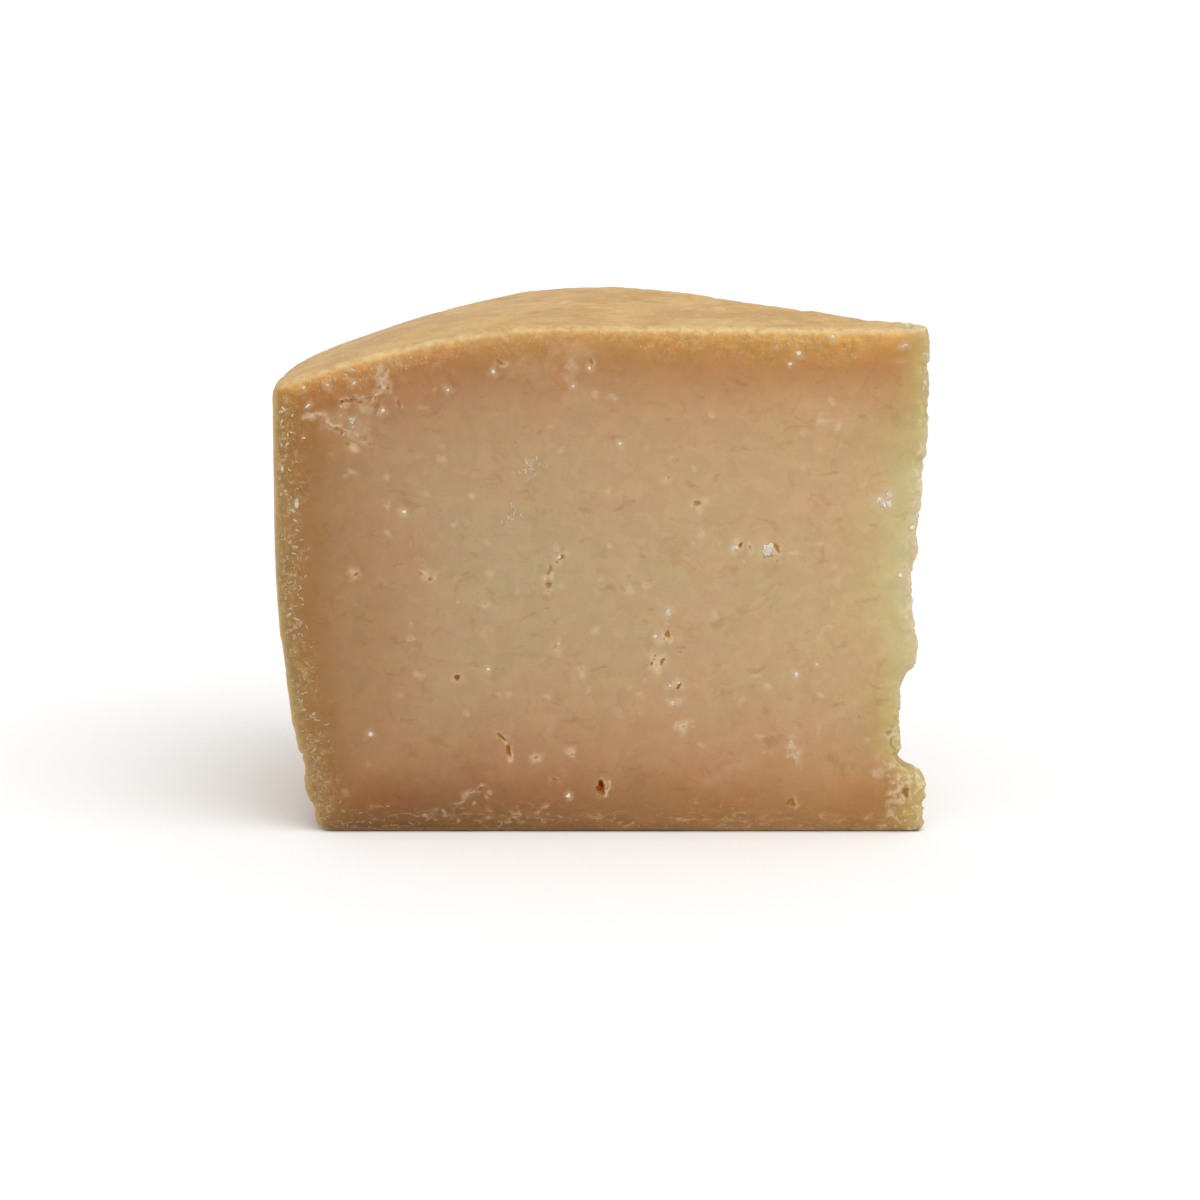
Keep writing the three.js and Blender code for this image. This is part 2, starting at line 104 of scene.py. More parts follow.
# Pits in the front cut: distance along from the rim, height, width, height, depth, lean to
# the right in degrees, how dark inside, as browner paste and painted shade, and how pale the lip
# is.
FRONT_PITS = [
    (61.9, 8.8, 1.7, 2.3, 2.6, 0, 1, 1), (62, 9.8, 1, 2, 1.9, 0, 1, 0.3),
    (34.4, 30.7, 1.2, 1.4, 1.5, 0, 0.95, 0.3), (42.8, 19.1, 0.7, 2.4, 1, -48, 0.75, 0.8),
    (44.2, 16.2, 0.9, 2.7, 1.4, -3, 0.8, 0.9), (80.3, 64.9, 1.6, 1.2, 0.8, 0, 0.55, 0.9),
    (12.8, 84.5, 0.7, 0.8, 0.9, 0, 0.95, 0.3), (16.3, 84.4, 1, 0.6, 0.8, 0, 0.7, 0.6),
    (19.2, 85.2, 0.5, 1.4, 0.8, 20, 0.6, 0.8), (21.6, 87.1, 0.5, 0.6, 0.6, 0, 0.5, 0.8),
    (20.5, 89.5, 1.5, 1.2, 0.4, 0, 0.3, 0.3), (23.6, 84, 0.6, 1.6, 0.7, -10, 0.6, 0.8),
    (13.8, 76.2, 0.7, 0.7, 0.6, -30, 0.6, 0.8), (42.8, 92.1, 1.4, 0.8, 0.7, 30, 0.6, 0.6),
    (60.1, 92.2, 0.7, 1.6, 0.7, -12, 0.6, 0.6), (54.5, 54.3, 0.8, 1.8, 0.8, 45, 0.55, 0.7),
    (53.6, 53.4, 0.5, 0.6, 0.6, 0, 0.5, 0.5), (52.3, 51.9, 0.8, 1.7, 0.8, 20, 0.55, 0.8),
    (51.9, 51.1, 0.6, 0.8, 0.6, 10, 0.6, 0.7), (51.9, 48.9, 1.3, 1.5, 0.9, 0, 0.5, 0.6),
    (51.9, 47.7, 0.7, 0.6, 0.4, 0, 0.35, 0.3), (51.6, 44.3, 1.3, 0.7, 0.3, 0, 0.25, 0.2),
    (74.7, 39.2, 1.1, 1.9, 1.1, 0, 0.75, 0.9), (72.3, 35, 0.4, 0.5, 0.6, 0, 0.8, 0.5),
    (72.1, 34.3, 0.4, 0.5, 0.6, 0, 0.8, 0.5), (71.7, 33.5, 0.5, 1, 0.8, 25, 0.8, 0.8),
    (75.3, 29.8, 0.4, 0.5, 0.5, 0, 0.6, 0.6), (76.8, 21.6, 0.4, 0.4, 0.5, 0, 0.6, 0.6),
    (77.8, 21.1, 0.5, 0.5, 0.5, 20, 0.6, 0.8), (77.1, 35.7, 0.8, 0.6, 0.3, 0, 0.3, 0.2),
    (70.5, 31, 0.8, 0.6, 0.3, 0, 0.25, 0.2), (88.6, 56.7, 0.7, 1.4, 1.1, 18, 0.95, 0.7),
    (90.4, 56.3, 0.4, 1.3, 0.6, -10, 0.4, 0.7), (95.5, 56.2, 0.9, 2.6, 0.9, -22, 0.5, 0.4),
    (94.3, 54.6, 1.3, 0.7, 0.5, 0, 0.35, 0.4), (93.2, 54.3, 0.5, 0.4, 0.4, 0, 0.5, 0.5),
    (15.2, 51, 0.6, 1.2, 0.8, 50, 0.85, 0.6), (29.3, 50, 0.6, 1.2, 0.8, 40, 0.8, 0.7),
    (27.4, 51.1, 1, 0.8, 0.4, 30, 0.3, 0.8), (98.6, 5.9, 1.6, 1.6, 1.1, 0, 0.7, 0.5),
    (49.5, 14.9, 1, 0.6, 0.6, -25, 0.5, 0.9), (56.4, 15.5, 0.7, 0.5, 0.5, 30, 0.5, 0.8),
    (53, 10.5, 0.9, 0.7, 0.5, 0, 0.4, 0.5), (53.3, 36.8, 0.5, 1, 0.5, 20, 0.4, 0.6),
    (58.3, 32.4, 0.5, 0.5, 0.4, 30, 0.4, 0.6), (111.5, 23, 0.6, 0.6, 0.4, 0, 0.4, 0.7),
    (45.7, 76.7, 0.5, 0.5, 0.4, 0, 0.5, 0.3), (74.8, 69.8, 0.5, 0.6, 0.4, 0, 0.5, 0.3),
    (95.6, 53.6, 0.5, 0.6, 0.4, 0, 0.4, 0.4), (120.6, 7.9, 1.3, 2.6, 1.3, -12, 0.4, 0.5),
    (117.3, 19.7, 1.6, 1, 0.9, 0, 0.3, 0.9),
]

# Cracks in the front cut: the points they run through, then width, depth, how dark they are
# and how pale their edges.
FRONT_CRACKS = [
    ([(5.8, 81), (7.9, 82), (9.4, 81.7), (9.8, 80.3), (11.6, 79.5), (13, 78.6)], 0.7, 0.3, 0, 0.9),
    ([(13, 78.6), (15.4, 77.4), (18.2, 75.8)], 0.8, 0.15, 0, 0.6),
    ([(12.9, 84.7), (14.6, 84.9), (16.5, 85), (18.6, 85.2)], 0.7, 0.35, 0.15, 0.8),
    ([(21, 90.7), (19.4, 89.2), (19.7, 88), (20.3, 87.4), (19.1, 85.9)], 0.8, 0.3, 0, 1),
    ([(19.6, 85.6), (20.1, 84.4), (19.7, 83)], 0.7, 0.3, 0.1, 0.9),
    ([(73.9, 34.3), (73.6, 33.1), (72.9, 32.3)], 0.6, 0.7, 0.7, 0.5),
    ([(77.3, 29.7), (76.8, 28.8)], 0.6, 0.5, 0.6, 0.7),
    ([(74.7, 40.2), (75, 41)], 0.5, 0.3, 0.2, 0.8),
    ([(74.1, 38.6), (73.8, 37.6)], 0.5, 0.3, 0.2, 0.9),
    ([(63.2, 10.3), (63.5, 8.9), (62.9, 7.7)], 0.7, -0.1, 0, 1),
    ([(33.4, 4.6), (34.2, 5.7), (35, 6.3)], 0.5, 0.1, 0, 0.65),
    ([(35, 6.3), (36, 7.2), (37, 8)], 0.5, 0.1, 0, 0.6),
    ([(36.9, 8), (38.2, 8.5), (39.4, 9.1)], 0.45, 0.25, 0.1, 1),
    ([(39.4, 9.1), (39.9, 8.3), (40.1, 7.3)], 0.45, 0.1, 0, 0.6),
    ([(30.9, 4.1), (31.6, 4.5), (31.3, 3.2)], 0.5, 0.1, 0, 0.6),
    ([(50.6, 3.7), (51.6, 4.9), (52.4, 5.3)], 0.5, 0.1, 0, 0.6),
    ([(98, 18), (98.3, 16.6), (98.9, 15)], 0.9, 0.2, 0.1, 0.9),
    ([(117.4, 19.6), (118, 16.6), (119, 13.4)], 1.4, 0.5, 0.1, 0.3),
    ([(118, 7.4), (118.8, 8.1), (119.5, 7.9), (120, 7)], 0.7, 0.1, 0, 0.9),
    ([(118.6, 5.6), (119.8, 5.9), (121.4, 6.4)], 0.6, 0.1, 0, 0.7),
]

# Faint lines in the front cut: the points they run through, then width, how dark and how pale.
FRONT_LINES = [
    ([(69, 5.9), (78.2, 19), (84.1, 29.1), (89, 41.7), (91, 50.1)], 0.6, 0.17, 0.05),
    ([(91, 50.1), (91.7, 61.6), (91.3, 75.2)], 0.6, 0.14, 0.04),
    ([(82.2, 9.9), (97.6, 18), (113.4, 27.1)], 3.6, 0, 0.16),
    ([(54.3, 21.6), (56.4, 21), (59.2, 22.8)], 1, 0.20, 0),
    ([(61.4, 37.7), (60.6, 34)], 0.8, 0.22, 0),
    ([(10.1, 62.8), (13.5, 64.5), (17.4, 65.3)], 0.9, 0.20, 0),
    ([(58.8, 30.4), (59.3, 27.8), (60.2, 25.2)], 0.9, 0, 0.18),
    ([(46.6, 23), (47.4, 20.4)], 1, 0.14, 0),
]

# White crystals in the front cut: along, up, width, height, lean.
FRONT_CRYSTALS = [
    (93.4, 55.9, 2.6, 2.3, 10), (87.5, 56.4, 1.2, 2.2, 8), (115.3, 65.2, 2.2, 1.2, 60),
    (117, 66.6, 1.1, 2, -25), (116.9, 64.9, 1.3, 0.9, 70), (121.3, 60.2, 0.9, 1, 0),
    (119.1, 50.9, 0.9, 0.8, 0), (76.1, 25.9, 1.7, 0.95, 0), (74.9, 43.5, 0.9, 1.6, 30),
    (76.8, 29.7, 0.6, 0.6, 0), (75.2, 29.1, 0.5, 0.5, 0), (72.3, 38.9, 0.7, 0.6, 0),
    (61, 40, 0.6, 0.6, 0), (65.6, 76.5, 0.7, 0.7, 0), (51.3, 50.2, 0.7, 0.7, 0),
    (53.9, 54.3, 0.7, 0.7, -30), (53.9, 37.4, 0.6, 0.5, 0), (55.7, 7.3, 0.8, 0.8, 0),
    (17.7, 19.6, 0.8, 0.8, 0), (24.5, 63.2, 0.8, 0.8, 0), (14.7, 80.9, 0.6, 1.4, 30),
    (20.6, 82.8, 0.7, 0.6, 0), (15.2, 88.2, 0.5, 1, 50), (10.2, 87.8, 0.5, 0.5, 0),
    (5.6, 87.2, 0.6, 0.5, 0), (6.4, 83.8, 0.4, 1, 50), (33, 86.8, 0.7, 0.7, 0),
    (41.6, 90.3, 0.7, 0.7, 0), (59.8, 91, 0.7, 0.7, 0), (56.7, 87.6, 0.6, 0.6, 0),
    (99.3, 93.9, 0.9, 0.7, 0), (97.8, 91.8, 0.7, 0.6, 0), (105.9, 97, 0.8, 0.6, 0),
    (119.6, 95.3, 1.6, 0.6, -25), (40.4, 32.4, 0.6, 0.6, 0), (99.4, 31.4, 0.7, 1, 20),
    (103.3, 33.3, 0.5, 0.5, 0), (98.4, 17.2, 0.6, 1.2, 10),
]

# Pale places in the front cut, flush with it: along, up, width, height, lean, strength.
FRONT_PALES = [
    (12, 81.2, 7, 4, -15, 0.22), (16.5, 79.5, 4, 5, 20, 0.22),
    (49, 90.5, 9, 5, 0, 0.16), (57, 94, 9, 5, 0, 0.2),
    (58, 85.5, 7, 5, 0, 0.14), (74.2, 69.4, 2.4, 1.8, 0, 0.45),
    (81.1, 58.7, 2, 2.6, 20, 0.5), (83.8, 43.2, 1.6, 2.2, 20, 0.35),
    (67.4, 47.9, 2.2, 2, 0, 0.45), (70.6, 48.7, 1.6, 1.6, 0, 0.35),
    (105.7, 84.7, 2.2, 1.6, 30, 0.5), (103.8, 80.8, 2.4, 2.2, 0, 0.5),
    (107.2, 79.8, 1.6, 2, 0, 0.5), (100.6, 78.3, 2, 1.4, 0, 0.35),
    (64.3, 85.4, 2, 1.6, 0, 0.45), (60.9, 86, 1.6, 1.6, 0, 0.45),
    (56.5, 91, 3.2, 5.4, 15, 0.35), (57.3, 95.1, 2.2, 1.2, 0, 0.45),
    (48.5, 72.7, 1.8, 1.4, 0, 0.35), (44.7, 61.6, 0.8, 3, 30, 0.35),
    (107.3, 50.1, 1, 3.2, 15, 0.4), (106.2, 45.6, 0.9, 2.6, -10, 0.35),
    (103.9, 39.1, 1, 2.4, 20, 0.35), (93.8, 29.1, 1.6, 1.4, 0, 0.5),
    (88.9, 26.3, 1.2, 2, 40, 0.35), (92.6, 19, 1.8, 1.2, 0, 0.35),
    (69.5, 27.5, 1.2, 1.1, 0, 0.45), (67.4, 28.5, 1, 1, 0, 0.4),
    (67.2, 24.4, 1, 1.2, 20, 0.4), (83.6, 42.7, 1, 1, 0, 0.4),
    (58.5, 31.6, 1.8, 2.6, 0, 0.5), (54, 36, 1.8, 2.2, 0, 0.35),
    (54.1, 38.3, 1, 0.8, 0, 0.4), (115.7, 12.1, 2, 2.8, 0, 0.4),
    (32, 73.4, 2.2, 1.4, 0, 0.35), (26.8, 31.4, 2.2, 1.2, 20, 0.4),
    (40.8, 51.1, 1.8, 1.4, 0, 0.35), (40.3, 3.1, 2.4, 1, 0, 0.4),
    (28.4, 3.4, 1.8, 0.7, 20, 0.5), (34.7, 2.5, 0.9, 0.8, 0, 0.5),
    (37.6, 5.9, 0.7, 0.7, 0, 0.6), (14.9, 75.6, 2.4, 1.8, 30, 0.6),
    (14.7, 70.9, 2.6, 1.2, 20, 0.35), (20.6, 89.4, 2.4, 4.6, -15, 0.5),
    (13.4, 83.8, 2.2, 1.6, 0, 0.5), (17, 83.2, 3, 2.6, 0, 0.45),
    (72.8, 33.9, 2.9, 4.4, 15, 0.65), (74.2, 38.6, 2.2, 3.2, 30, 0.6),
    (77.7, 21, 3.4, 2.7, 0, 0.6), (76.4, 29.6, 2.4, 2, 0, 0.5),
    (76.1, 25.9, 2.6, 1.6, 0, 0.5), (88, 56.7, 2.4, 3, 10, 0.6),
    (90.4, 56.3, 1.6, 2.4, 0, 0.4), (94.4, 56, 3.8, 3, 0, 0.6),
    (87.2, 55.1, 1.2, 0.6, 0, 0.5), (98.6, 55.1, 1.9, 0.6, 0, 0.5),
    (89.3, 53.5, 0.8, 0.7, 0, 0.5), (102.8, 56.2, 2.2, 0.9, 80, 0.4),
    (81.2, 65.4, 2.6, 1.4, 0, 0.5), (80.6, 63.6, 1.8, 1.6, 0, 0.5),
    (115.8, 65.6, 4.4, 3.4, 30, 0.6), (116.6, 50.5, 1.6, 1.4, 0, 0.5),
    (111.8, 68.2, 1.4, 1, 0, 0.4), (15, 51.3, 2, 2.2, 0, 0.55),
    (28.8, 50.6, 2.4, 1.8, 20, 0.5), (49.6, 14.8, 2.6, 2.2, -25, 0.55),
    (56.2, 16, 2.2, 2.4, 0, 0.55), (53.5, 56, 1.2, 2, 0, 0.4),
    (52.5, 50.7, 0.8, 1.8, 20, 0.6), (99.6, 31.2, 1.6, 2.4, 10, 0.45),
    (98.4, 16.6, 1.6, 3.6, 10, 0.45), (34, 30.4, 2.2, 2.4, 0, 0.25),
    (113.3, 18.5, 1.2, 0.9, 0, 0.5), (117.8, 13.3, 2.2, 1.4, -30, 0.6),
    (119.3, 11.3, 2, 1.5, 0, 0.6), (114.4, 11.9, 1.2, 1.4, 0, 0.6),
    (117.8, 3.9, 1.4, 1.6, 0, 0.6), (113.2, 3, 1.2, 1, 0, 0.4),
    (116, 1.2, 2.4, 0.8, 0, 0.5),
]

# ---- chance and noise


def lattice(i, j, k, seed):
    """A repeatable value from -1 to 1 at each whole-numbered point of space."""
    n = (i * 374761393 + j * 668265263 + k * 1440662683 + seed * 1274126177) & 0xFFFFFFFF
    n = ((n ^ (n >> 13)) * 1274126177) & 0xFFFFFFFF
    n = n ^ (n >> 16)
    return n / 2147483648.0 - 1.0


def noise(points, size, seed):
    """Smooth noise from about -1 to 1, whose lumps are about size across."""
    scaled = points / size
    cell = np.floor(scaled).astype(np.int64)
    part = scaled - cell
    ease = part * part * (3 - 2 * part)
    total = np.zeros(len(points))
    for i in (0, 1):
        across = ease[:, 0] if i else 1 - ease[:, 0]
        for j in (0, 1):
            deep = ease[:, 1] if j else 1 - ease[:, 1]
            for k in (0, 1):
                up = ease[:, 2] if k else 1 - ease[:, 2]
                corner = lattice(cell[:, 0] + i, cell[:, 1] + j, cell[:, 2] + k, seed)
                total += across * deep * up * corner
    return total


def rough_noise(points, size, seed, layers=3):
    """Noise with finer noise laid over it, each layer half the size and half as strong."""
    total = np.zeros(len(points))
    for layer in range(layers):
        total += noise(points, size / 2**layer, seed + layer) / 2**layer
    return total


def smooth_step(value, low, high):
    """0 below low, 1 above high, and an eased slope between them. low may be the larger."""
    share = np.clip((value - low) / (high - low), 0, 1)
    return share * share * (3 - 2 * share)


def hump(value, middle, spread):
    """1 where value is at middle, and less the further it is away on either side."""
    return np.exp(-(((value - middle) / spread) ** 2))


# ---- places on the wedge


class CutFace:
    """A knife cut: an upright plane through the wheel's axis, or close by it."""

    def __init__(self, towards_rim, outward, offset):
        self.towards_rim = np.array(towards_rim)
        self.outward = np.array(outward)
        self.offset = offset

    def along(self, points):
        """Distance in from the wheel's widest rim."""
        return WHEEL_RADIUS - (points[:, :2] - AXIS) @ self.towards_rim

    def depth(self, points):
        """Distance into the cheese from the plane."""
        return self.offset - (points[:, :2] - AXIS) @ self.outward

    def place(self, along, up):
        """The point of the plane at these distances."""
        from_axis = self.towards_rim * (WHEEL_RADIUS - along)
        flat = AXIS + from_axis + self.outward * self.offset
        return np.array([flat[0], flat[1], up])


FRONT = CutFace((-1.0, 0.0), (0.0, -1.0), 0.0)
BACK = CutFace(
    (-math.cos(WEDGE_ANGLE), math.sin(WEDGE_ANGLE)),
    (math.sin(WEDGE_ANGLE), math.cos(WEDGE_ANGLE)),
    BACK_CUT_OFFSET,
)


def side_radius(up):
    """Radius of the wheel's side at a height."""
    tuck = np.clip(1 - up / SIDE_TUCK_HEIGHT, 0, 1) ** SIDE_TUCK_POWER
    return WHEEL_RADIUS - SIDE_TUCK * tuck


def shoulder_height(in_from_rim, shoulder):
    """Height of the wheel's top at a distance in from its rim."""
    fall = np.clip(1 - in_from_rim / shoulder["reach"], 0, 1) ** shoulder["power"]
    inner = in_from_rim - FRONT_SHOULDER["reach"]
    sag = TOP_SAG * np.clip(inner, 0, None) / (WHEEL_RADIUS - FRONT_SHOULDER["reach"])
    return WHEEL_HEIGHT - shoulder["drop"] * fall - sag


def rind_distances(points):
    """Distances into the cheese from the wheel's side, its top and its base."""
    offset = points[:, :2] - AXIS
    radius = np.hypot(offset[:, 0], offset[:, 1])
    turned = np.clip(np.arctan2(offset[:, 1], -offset[:, 0]) / WEDGE_ANGLE, 0, 1)
    in_from_rim = WHEEL_RADIUS - radius
    front = shoulder_height(in_from_rim, FRONT_SHOULDER)
    back = shoulder_height(in_from_rim, BACK_SHOULDER)
    top = front + (back - front) * turned
    return side_radius(points[:, 2]) - radius, top - points[:, 2], points[:, 2]


def headings(points):
    """Level directions straight out from the wheel's axis."""
    offset = points[:, :2] - AXIS
    return offset / np.hypot(offset[:, 0], offset[:, 1])[:, None]


def rind_depth(points):
    """Distance into the cheese from the nearest of the rind's three faces."""
    return np.minimum.reduce(rind_distances(points))


def rind_shares(points):
    """How much the top, against the side, and the base, against both, colour a place."""
    pulls = [1 / (np.clip(distance, 0, None) + 1.5) ** 3 for distance in rind_distances(points)]
    total = sum(pulls)
    return pulls[1] / (pulls[0] + pulls[1]), pulls[2] / total


class TipLine:
    """How far out the broken tip reaches at each height, read from the solid."""

    STEP = 2.0

    def __init__(self, points):
        self.heights = np.arange(0.0, HIGH[2] + 1.0, self.STEP)
        nearest = np.rint(points[:, 2] / self.STEP).astype(int)
        self.reach = np.full(len(self.heights), -np.inf)
        np.maximum.at(self.reach, nearest.clip(0, len(self.heights) - 1), points[:, 0])

    def depth(self, points):
        return np.interp(points[:, 2], self.heights, self.reach) - points[:, 0]


def inside_cut(face, along, up, margin):
    """Whether a place on a cut is this far in from the rind and from the broken tip."""
    point = face.place(along, up)[None]
    return min(rind_depth(point)[0], TIP.depth(point)[0]) > margin


def solid_points():
    """The corners of the frame's solid, in millimetres."""
    return np.array([v.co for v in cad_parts[NODE].data.vertices]) / MM


TIP = TipLine(solid_points())

# ---- the even mesh


def linked(name, data):
    """A new object in the scene."""
    made = bpy.data.objects.new(name, data)
    bpy.context.scene.collection.objects.link(made)
    return made


def even_mesh():
    """The frame's solid as even squares, in millimetres."""
    bm = bmesh.new()
    bm.from_mesh(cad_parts[NODE].data)
    bmesh.ops.remove_doubles(bm, verts=bm.verts, dist=1e-7)
    joined = bpy.data.meshes.new("joined")
    bm.to_mesh(joined)
    bm.free()
    joined.transform(Matrix.Scale(1 / MM, 4))
    holder = linked("joined", joined)
    remesh = holder.modifiers.new("even", "REMESH")
    remesh.mode = "VOXEL"
    remesh.voxel_size = VOXEL
    depsgraph = bpy.context.evaluated_depsgraph_get()
    even = bpy.data.meshes.new_from_object(holder.evaluated_get(depsgraph))
    bpy.data.objects.remove(holder)
    bpy.data.meshes.remove(joined)
    return even


def rows_of(items, name, width, kind=np.float32):
    """One attribute of a mesh's points, edges or faces, a row for each."""
    values = np.empty(len(items) * width, kind)
    items.foreach_get(name, values)
    return values.reshape(-1, width)


def points_of(mesh):
    return rows_of(mesh.vertices, "co", 3).astype(float)


def set_points(mesh, points):
    mesh.vertices.foreach_set("co", points.astype(np.float32).ravel())
    mesh.update()


def edges_of(mesh):
    return rows_of(mesh.edges, "vertices", 2, np.int32)


def relax(points, edges, passes, freedom):
    """Moves each point towards the middle of its neighbours, as far as its freedom allows."""
    ends = np.concatenate([edges, edges[:, ::-1]])
    count = np.bincount(ends[:, 0], minlength=len(points))
    for _ in range(passes):
        middle = np.empty_like(points)
        for axis in range(3):
            pulled = points[ends[:, 1], axis]
            total = np.bincount(ends[:, 0], weights=pulled, minlength=len(points))
            middle[:, axis] = total / count
        points = points + freedom * (middle - points)
    return points


def flatten_cut(points, edges, face):
    """Fills the solid's coarse pits in a cut, so that finer ones can be pressed there."""
    depth = face.depth(points)
    inside = np.minimum(rind_depth(points), TIP.depth(points))
    share = smooth_step(inside, FLAT_FROM, FLAT_TO) * (depth < DEEPEST_EYE)
    lift = (depth * share)[:, None] * face.outward
    points = points.copy()
    points[:, :2] += lift
    free = (share >= 1)[:, None] * 0.5
    return relax(points, edges, CUT_PASSES, free)


def true_rind(points, share):
    """Draws points close to the rind onto the wheel's own surface, with its rounded corners."""
    points = points.copy()
    for _ in range(RIND_STEPS):
        side, top, base = rind_distances(points)
        upper = top < base
        flat = np.where(upper, top, base)
        rounding = np.where(upper, RIM_ROUNDING, BASE_ROUNDING)
        a = np.clip(rounding - side, 0, None)
        b = np.clip(rounding - flat, 0, None)
        corner = (a > 0) & (b > 0)
        reach = np.maximum(np.hypot(a, b), 1e-6)
        gap = np.where(corner, rounding - reach, np.minimum(side, flat))
        out = np.where(corner, a / reach, side < flat)
        rise = np.where(corner, b / reach, side >= flat) * np.where(upper, 1, -1)
        near = share * smooth_step(np.abs(gap), 1.6, 1.0)
        points[:, :2] += (gap * near * out)[:, None] * headings(points)
        points[:, 2] += gap * near * rise
    return points


def subdivide_where(mesh, wanted):
    """Splits the faces whose corners are all wanted. wanted takes points in millimetres."""
    bm = bmesh.new()
    bm.from_mesh(mesh)
    chosen = wanted(points_of(mesh))
    edges = [e for e in bm.edges if chosen[e.verts[0].index] and chosen[e.verts[1].index]]
    bmesh.ops.subdivide_edges(bm, edges=edges, cuts=1, use_grid_fill=True)
    bm.to_mesh(mesh)
    bm.free()
    mesh.update()


# ---- marks pressed into the skin


class Skin:
    """The skin's points with the relief and the colour fields gathered for them."""

    def __init__(self, points):
        self.points = points
        self.rind = rind_depth(points)
        self.tip = TIP.depth(points)
        self.along = {face: face.along(points) for face in (FRONT, BACK)}
        self.depth = {face: face.depth(points) for face in (FRONT, BACK)}
        self.sink = {face: np.zeros(len(points)) for face in (FRONT, BACK)}
        self.pit = np.zeros(len(points))
        self.pale = np.zeros(len(points))
        self.torn = np.zeros(len(points))

    def near(self, face, along, up, reach):
        """Which points of a cut lie within reach of a place."""
        close = np.abs(self.along[face] - along) < reach
        close &= np.abs(self.points[:, 2] - up) < reach
        close &= self.depth[face] < ON_CUT
        return np.flatnonzero(close)

    def local(self, face, index, along, up, wide, high, lean):
        """Places relative to a mark's outline: how far out, with 1 on it, and the angle."""
        turn = math.radians(lean)
        across = self.along[face][index] - along
        rise = self.points[index, 2] - up
        x = (across * math.cos(turn) - rise * math.sin(turn)) / (wide / 2)
        y = (across * math.sin(turn) + rise * math.cos(turn)) / (high / 2)
        return np.hypot(x, y), np.arctan2(rise, across)

    def darken(self, index, value):
        self.pit[index] = np.maximum(self.pit[index], value)

    def whiten(self, index, value):
        self.pale[index] = np.maximum(self.pale[index], value)


def ragged(angle, rng, strength):
    """An uneven outline's radius at an angle, around 1."""
    radius = np.ones_like(angle)
    for waves, share in ((2, 0.5), (3, 1.0), (5, 0.6), (8, 0.3)):
        radius += strength * share * np.sin(waves * angle + rng.uniform(0, 2 * math.pi))
    return radius


def press_pit(skin, face, pit, rng):
    """A pit with a dark inside, browner paste with painted shade, and a paler, raised lip on one
    side of it.
    """
    along, up, wide, high, deep, lean, dark, lip = pit
    index = skin.near(face, along, up, 1.2 * max(wide, high) + 1.2)
    out, angle = skin.local(face, index, along, up, wide, high, lean)
    out = out / ragged(angle, rng, 0.13)
    points, seed = skin.points[index], rng.integers(1000)
    grain = noise(points, 0.7, seed)
    size = math.sqrt(wide * high) / 2
    beyond = (out - 1.0) * size
    lip_side = 0.6 + 0.4 * np.cos(angle + rng.uniform(0.2, 1.6))
    crumbs = smooth_step(rough_noise(points, 1.1, seed + 1, 2), -0.6, 0.4)
    rim = lip * np.clip(hump(beyond, 0.35, 0.42) * lip_side * crumbs, 0, 1)
    deep = deep * min(1.0, 0.3 + 0.35 * size)
    hollow = smooth_step(out + 0.15 * grain, 1.15, 0.35)
    skin.sink[face][index] += deep * hollow - PIT_LIP * rim
    skin.darken(index, dark * smooth_step(out, 1.1, 0.4))
    skin.whiten(index, LIP_PALENESS * rim)


def distance_to_path(along, up, path):
    """Distance to a line through points, and which side of it a place is on, as 1 or -1."""
    best = np.full(len(along), np.inf)
    side = np.ones(len(along))
    for (x0, y0), (x1, y1) in zip(path, path[1:]):
        run = np.array([x1 - x0, y1 - y0])
        share = ((along - x0) * run[0] + (up - y0) * run[1]) / (run @ run)
        share = np.clip(share, 0, 1)
        gap = np.hypot(along - x0 - share * run[0], up - y0 - share * run[1])
        turn = run[0] * (up - y0) - run[1] * (along - x0)
        side = np.where(gap < best, np.where(turn < 0, -1, 1), side)
        best = np.minimum(best, gap)
    return best, side


def path_reach(path):
    """A path's middle, and a distance around it that holds the path and its lips."""
    middle = np.mean(path, axis=0)
    return middle, max(math.dist(point, middle) for point in path) + 3


def wandering_gap(skin, face, path, rng, wander):
    """The points near a path, their distance from it as it wanders a little, and their side."""
    middle, reach = path_reach(path)
    index = skin.near(face, *middle, reach)
    seed = rng.integers(1000)
    points = skin.points[index]
    along = skin.along[face][index] + wander * rough_noise(points, 1.6, seed, 2)
    up = points[:, 2] + wander * rough_noise(points, 1.6, seed + 5, 2)
    return index, *distance_to_path(along, up, path), seed + 9


def press_crack(skin, face, crack, rng):
    """A torn line that wanders and breaks off, with a crumbly pale lip along one side."""
    path, wide, deep, dark, edge = crack
    index, gap, side, seed = wandering_gap(skin, face, path, rng, 0.6)
    points = skin.points[index]
    breaks = smooth_step(noise(points, 1.2, seed), -0.5, 0.2)
    cut = smooth_step(gap, wide / 2 + 0.1, 0.1) * breaks
    crumbs = smooth_step(rough_noise(points, 0.9, seed + 1, 2), -0.7, 0.35)
    reach = wide * (0.5 + 0.8 * smooth_step(noise(points, 2.1, seed + 4), -0.4, 0.7))
    lip = hump(gap * side, 0.5 * reach, reach) * crumbs
    skin.sink[face][index] += deep * cut - CRACK_LIP * edge * lip
    # The dark inside of a crack is browner paste with painted shade.
    skin.darken(index, dark * cut)
    skin.whiten(index, LIP_PALENESS * edge * lip * (1 - dark * cut))


def draw_line(skin, face, line, rng):
    """A faint soft line, such as a fold or a knife mark."""
    path, wide, dark, pale = line
    index, gap, _, seed = wandering_gap(skin, face, path, rng, 0.35)
    fade = smooth_step(noise(skin.points[index], 2.4, seed), -0.9, 0.2)
    body = smooth_step(gap, 0.5 * wide + 0.2, 0.0) * fade
    skin.sink[face][index] += 0.25 * (dark - pale) * body
    skin.pit[index] += dark * body
    skin.pale[index] += pale * body


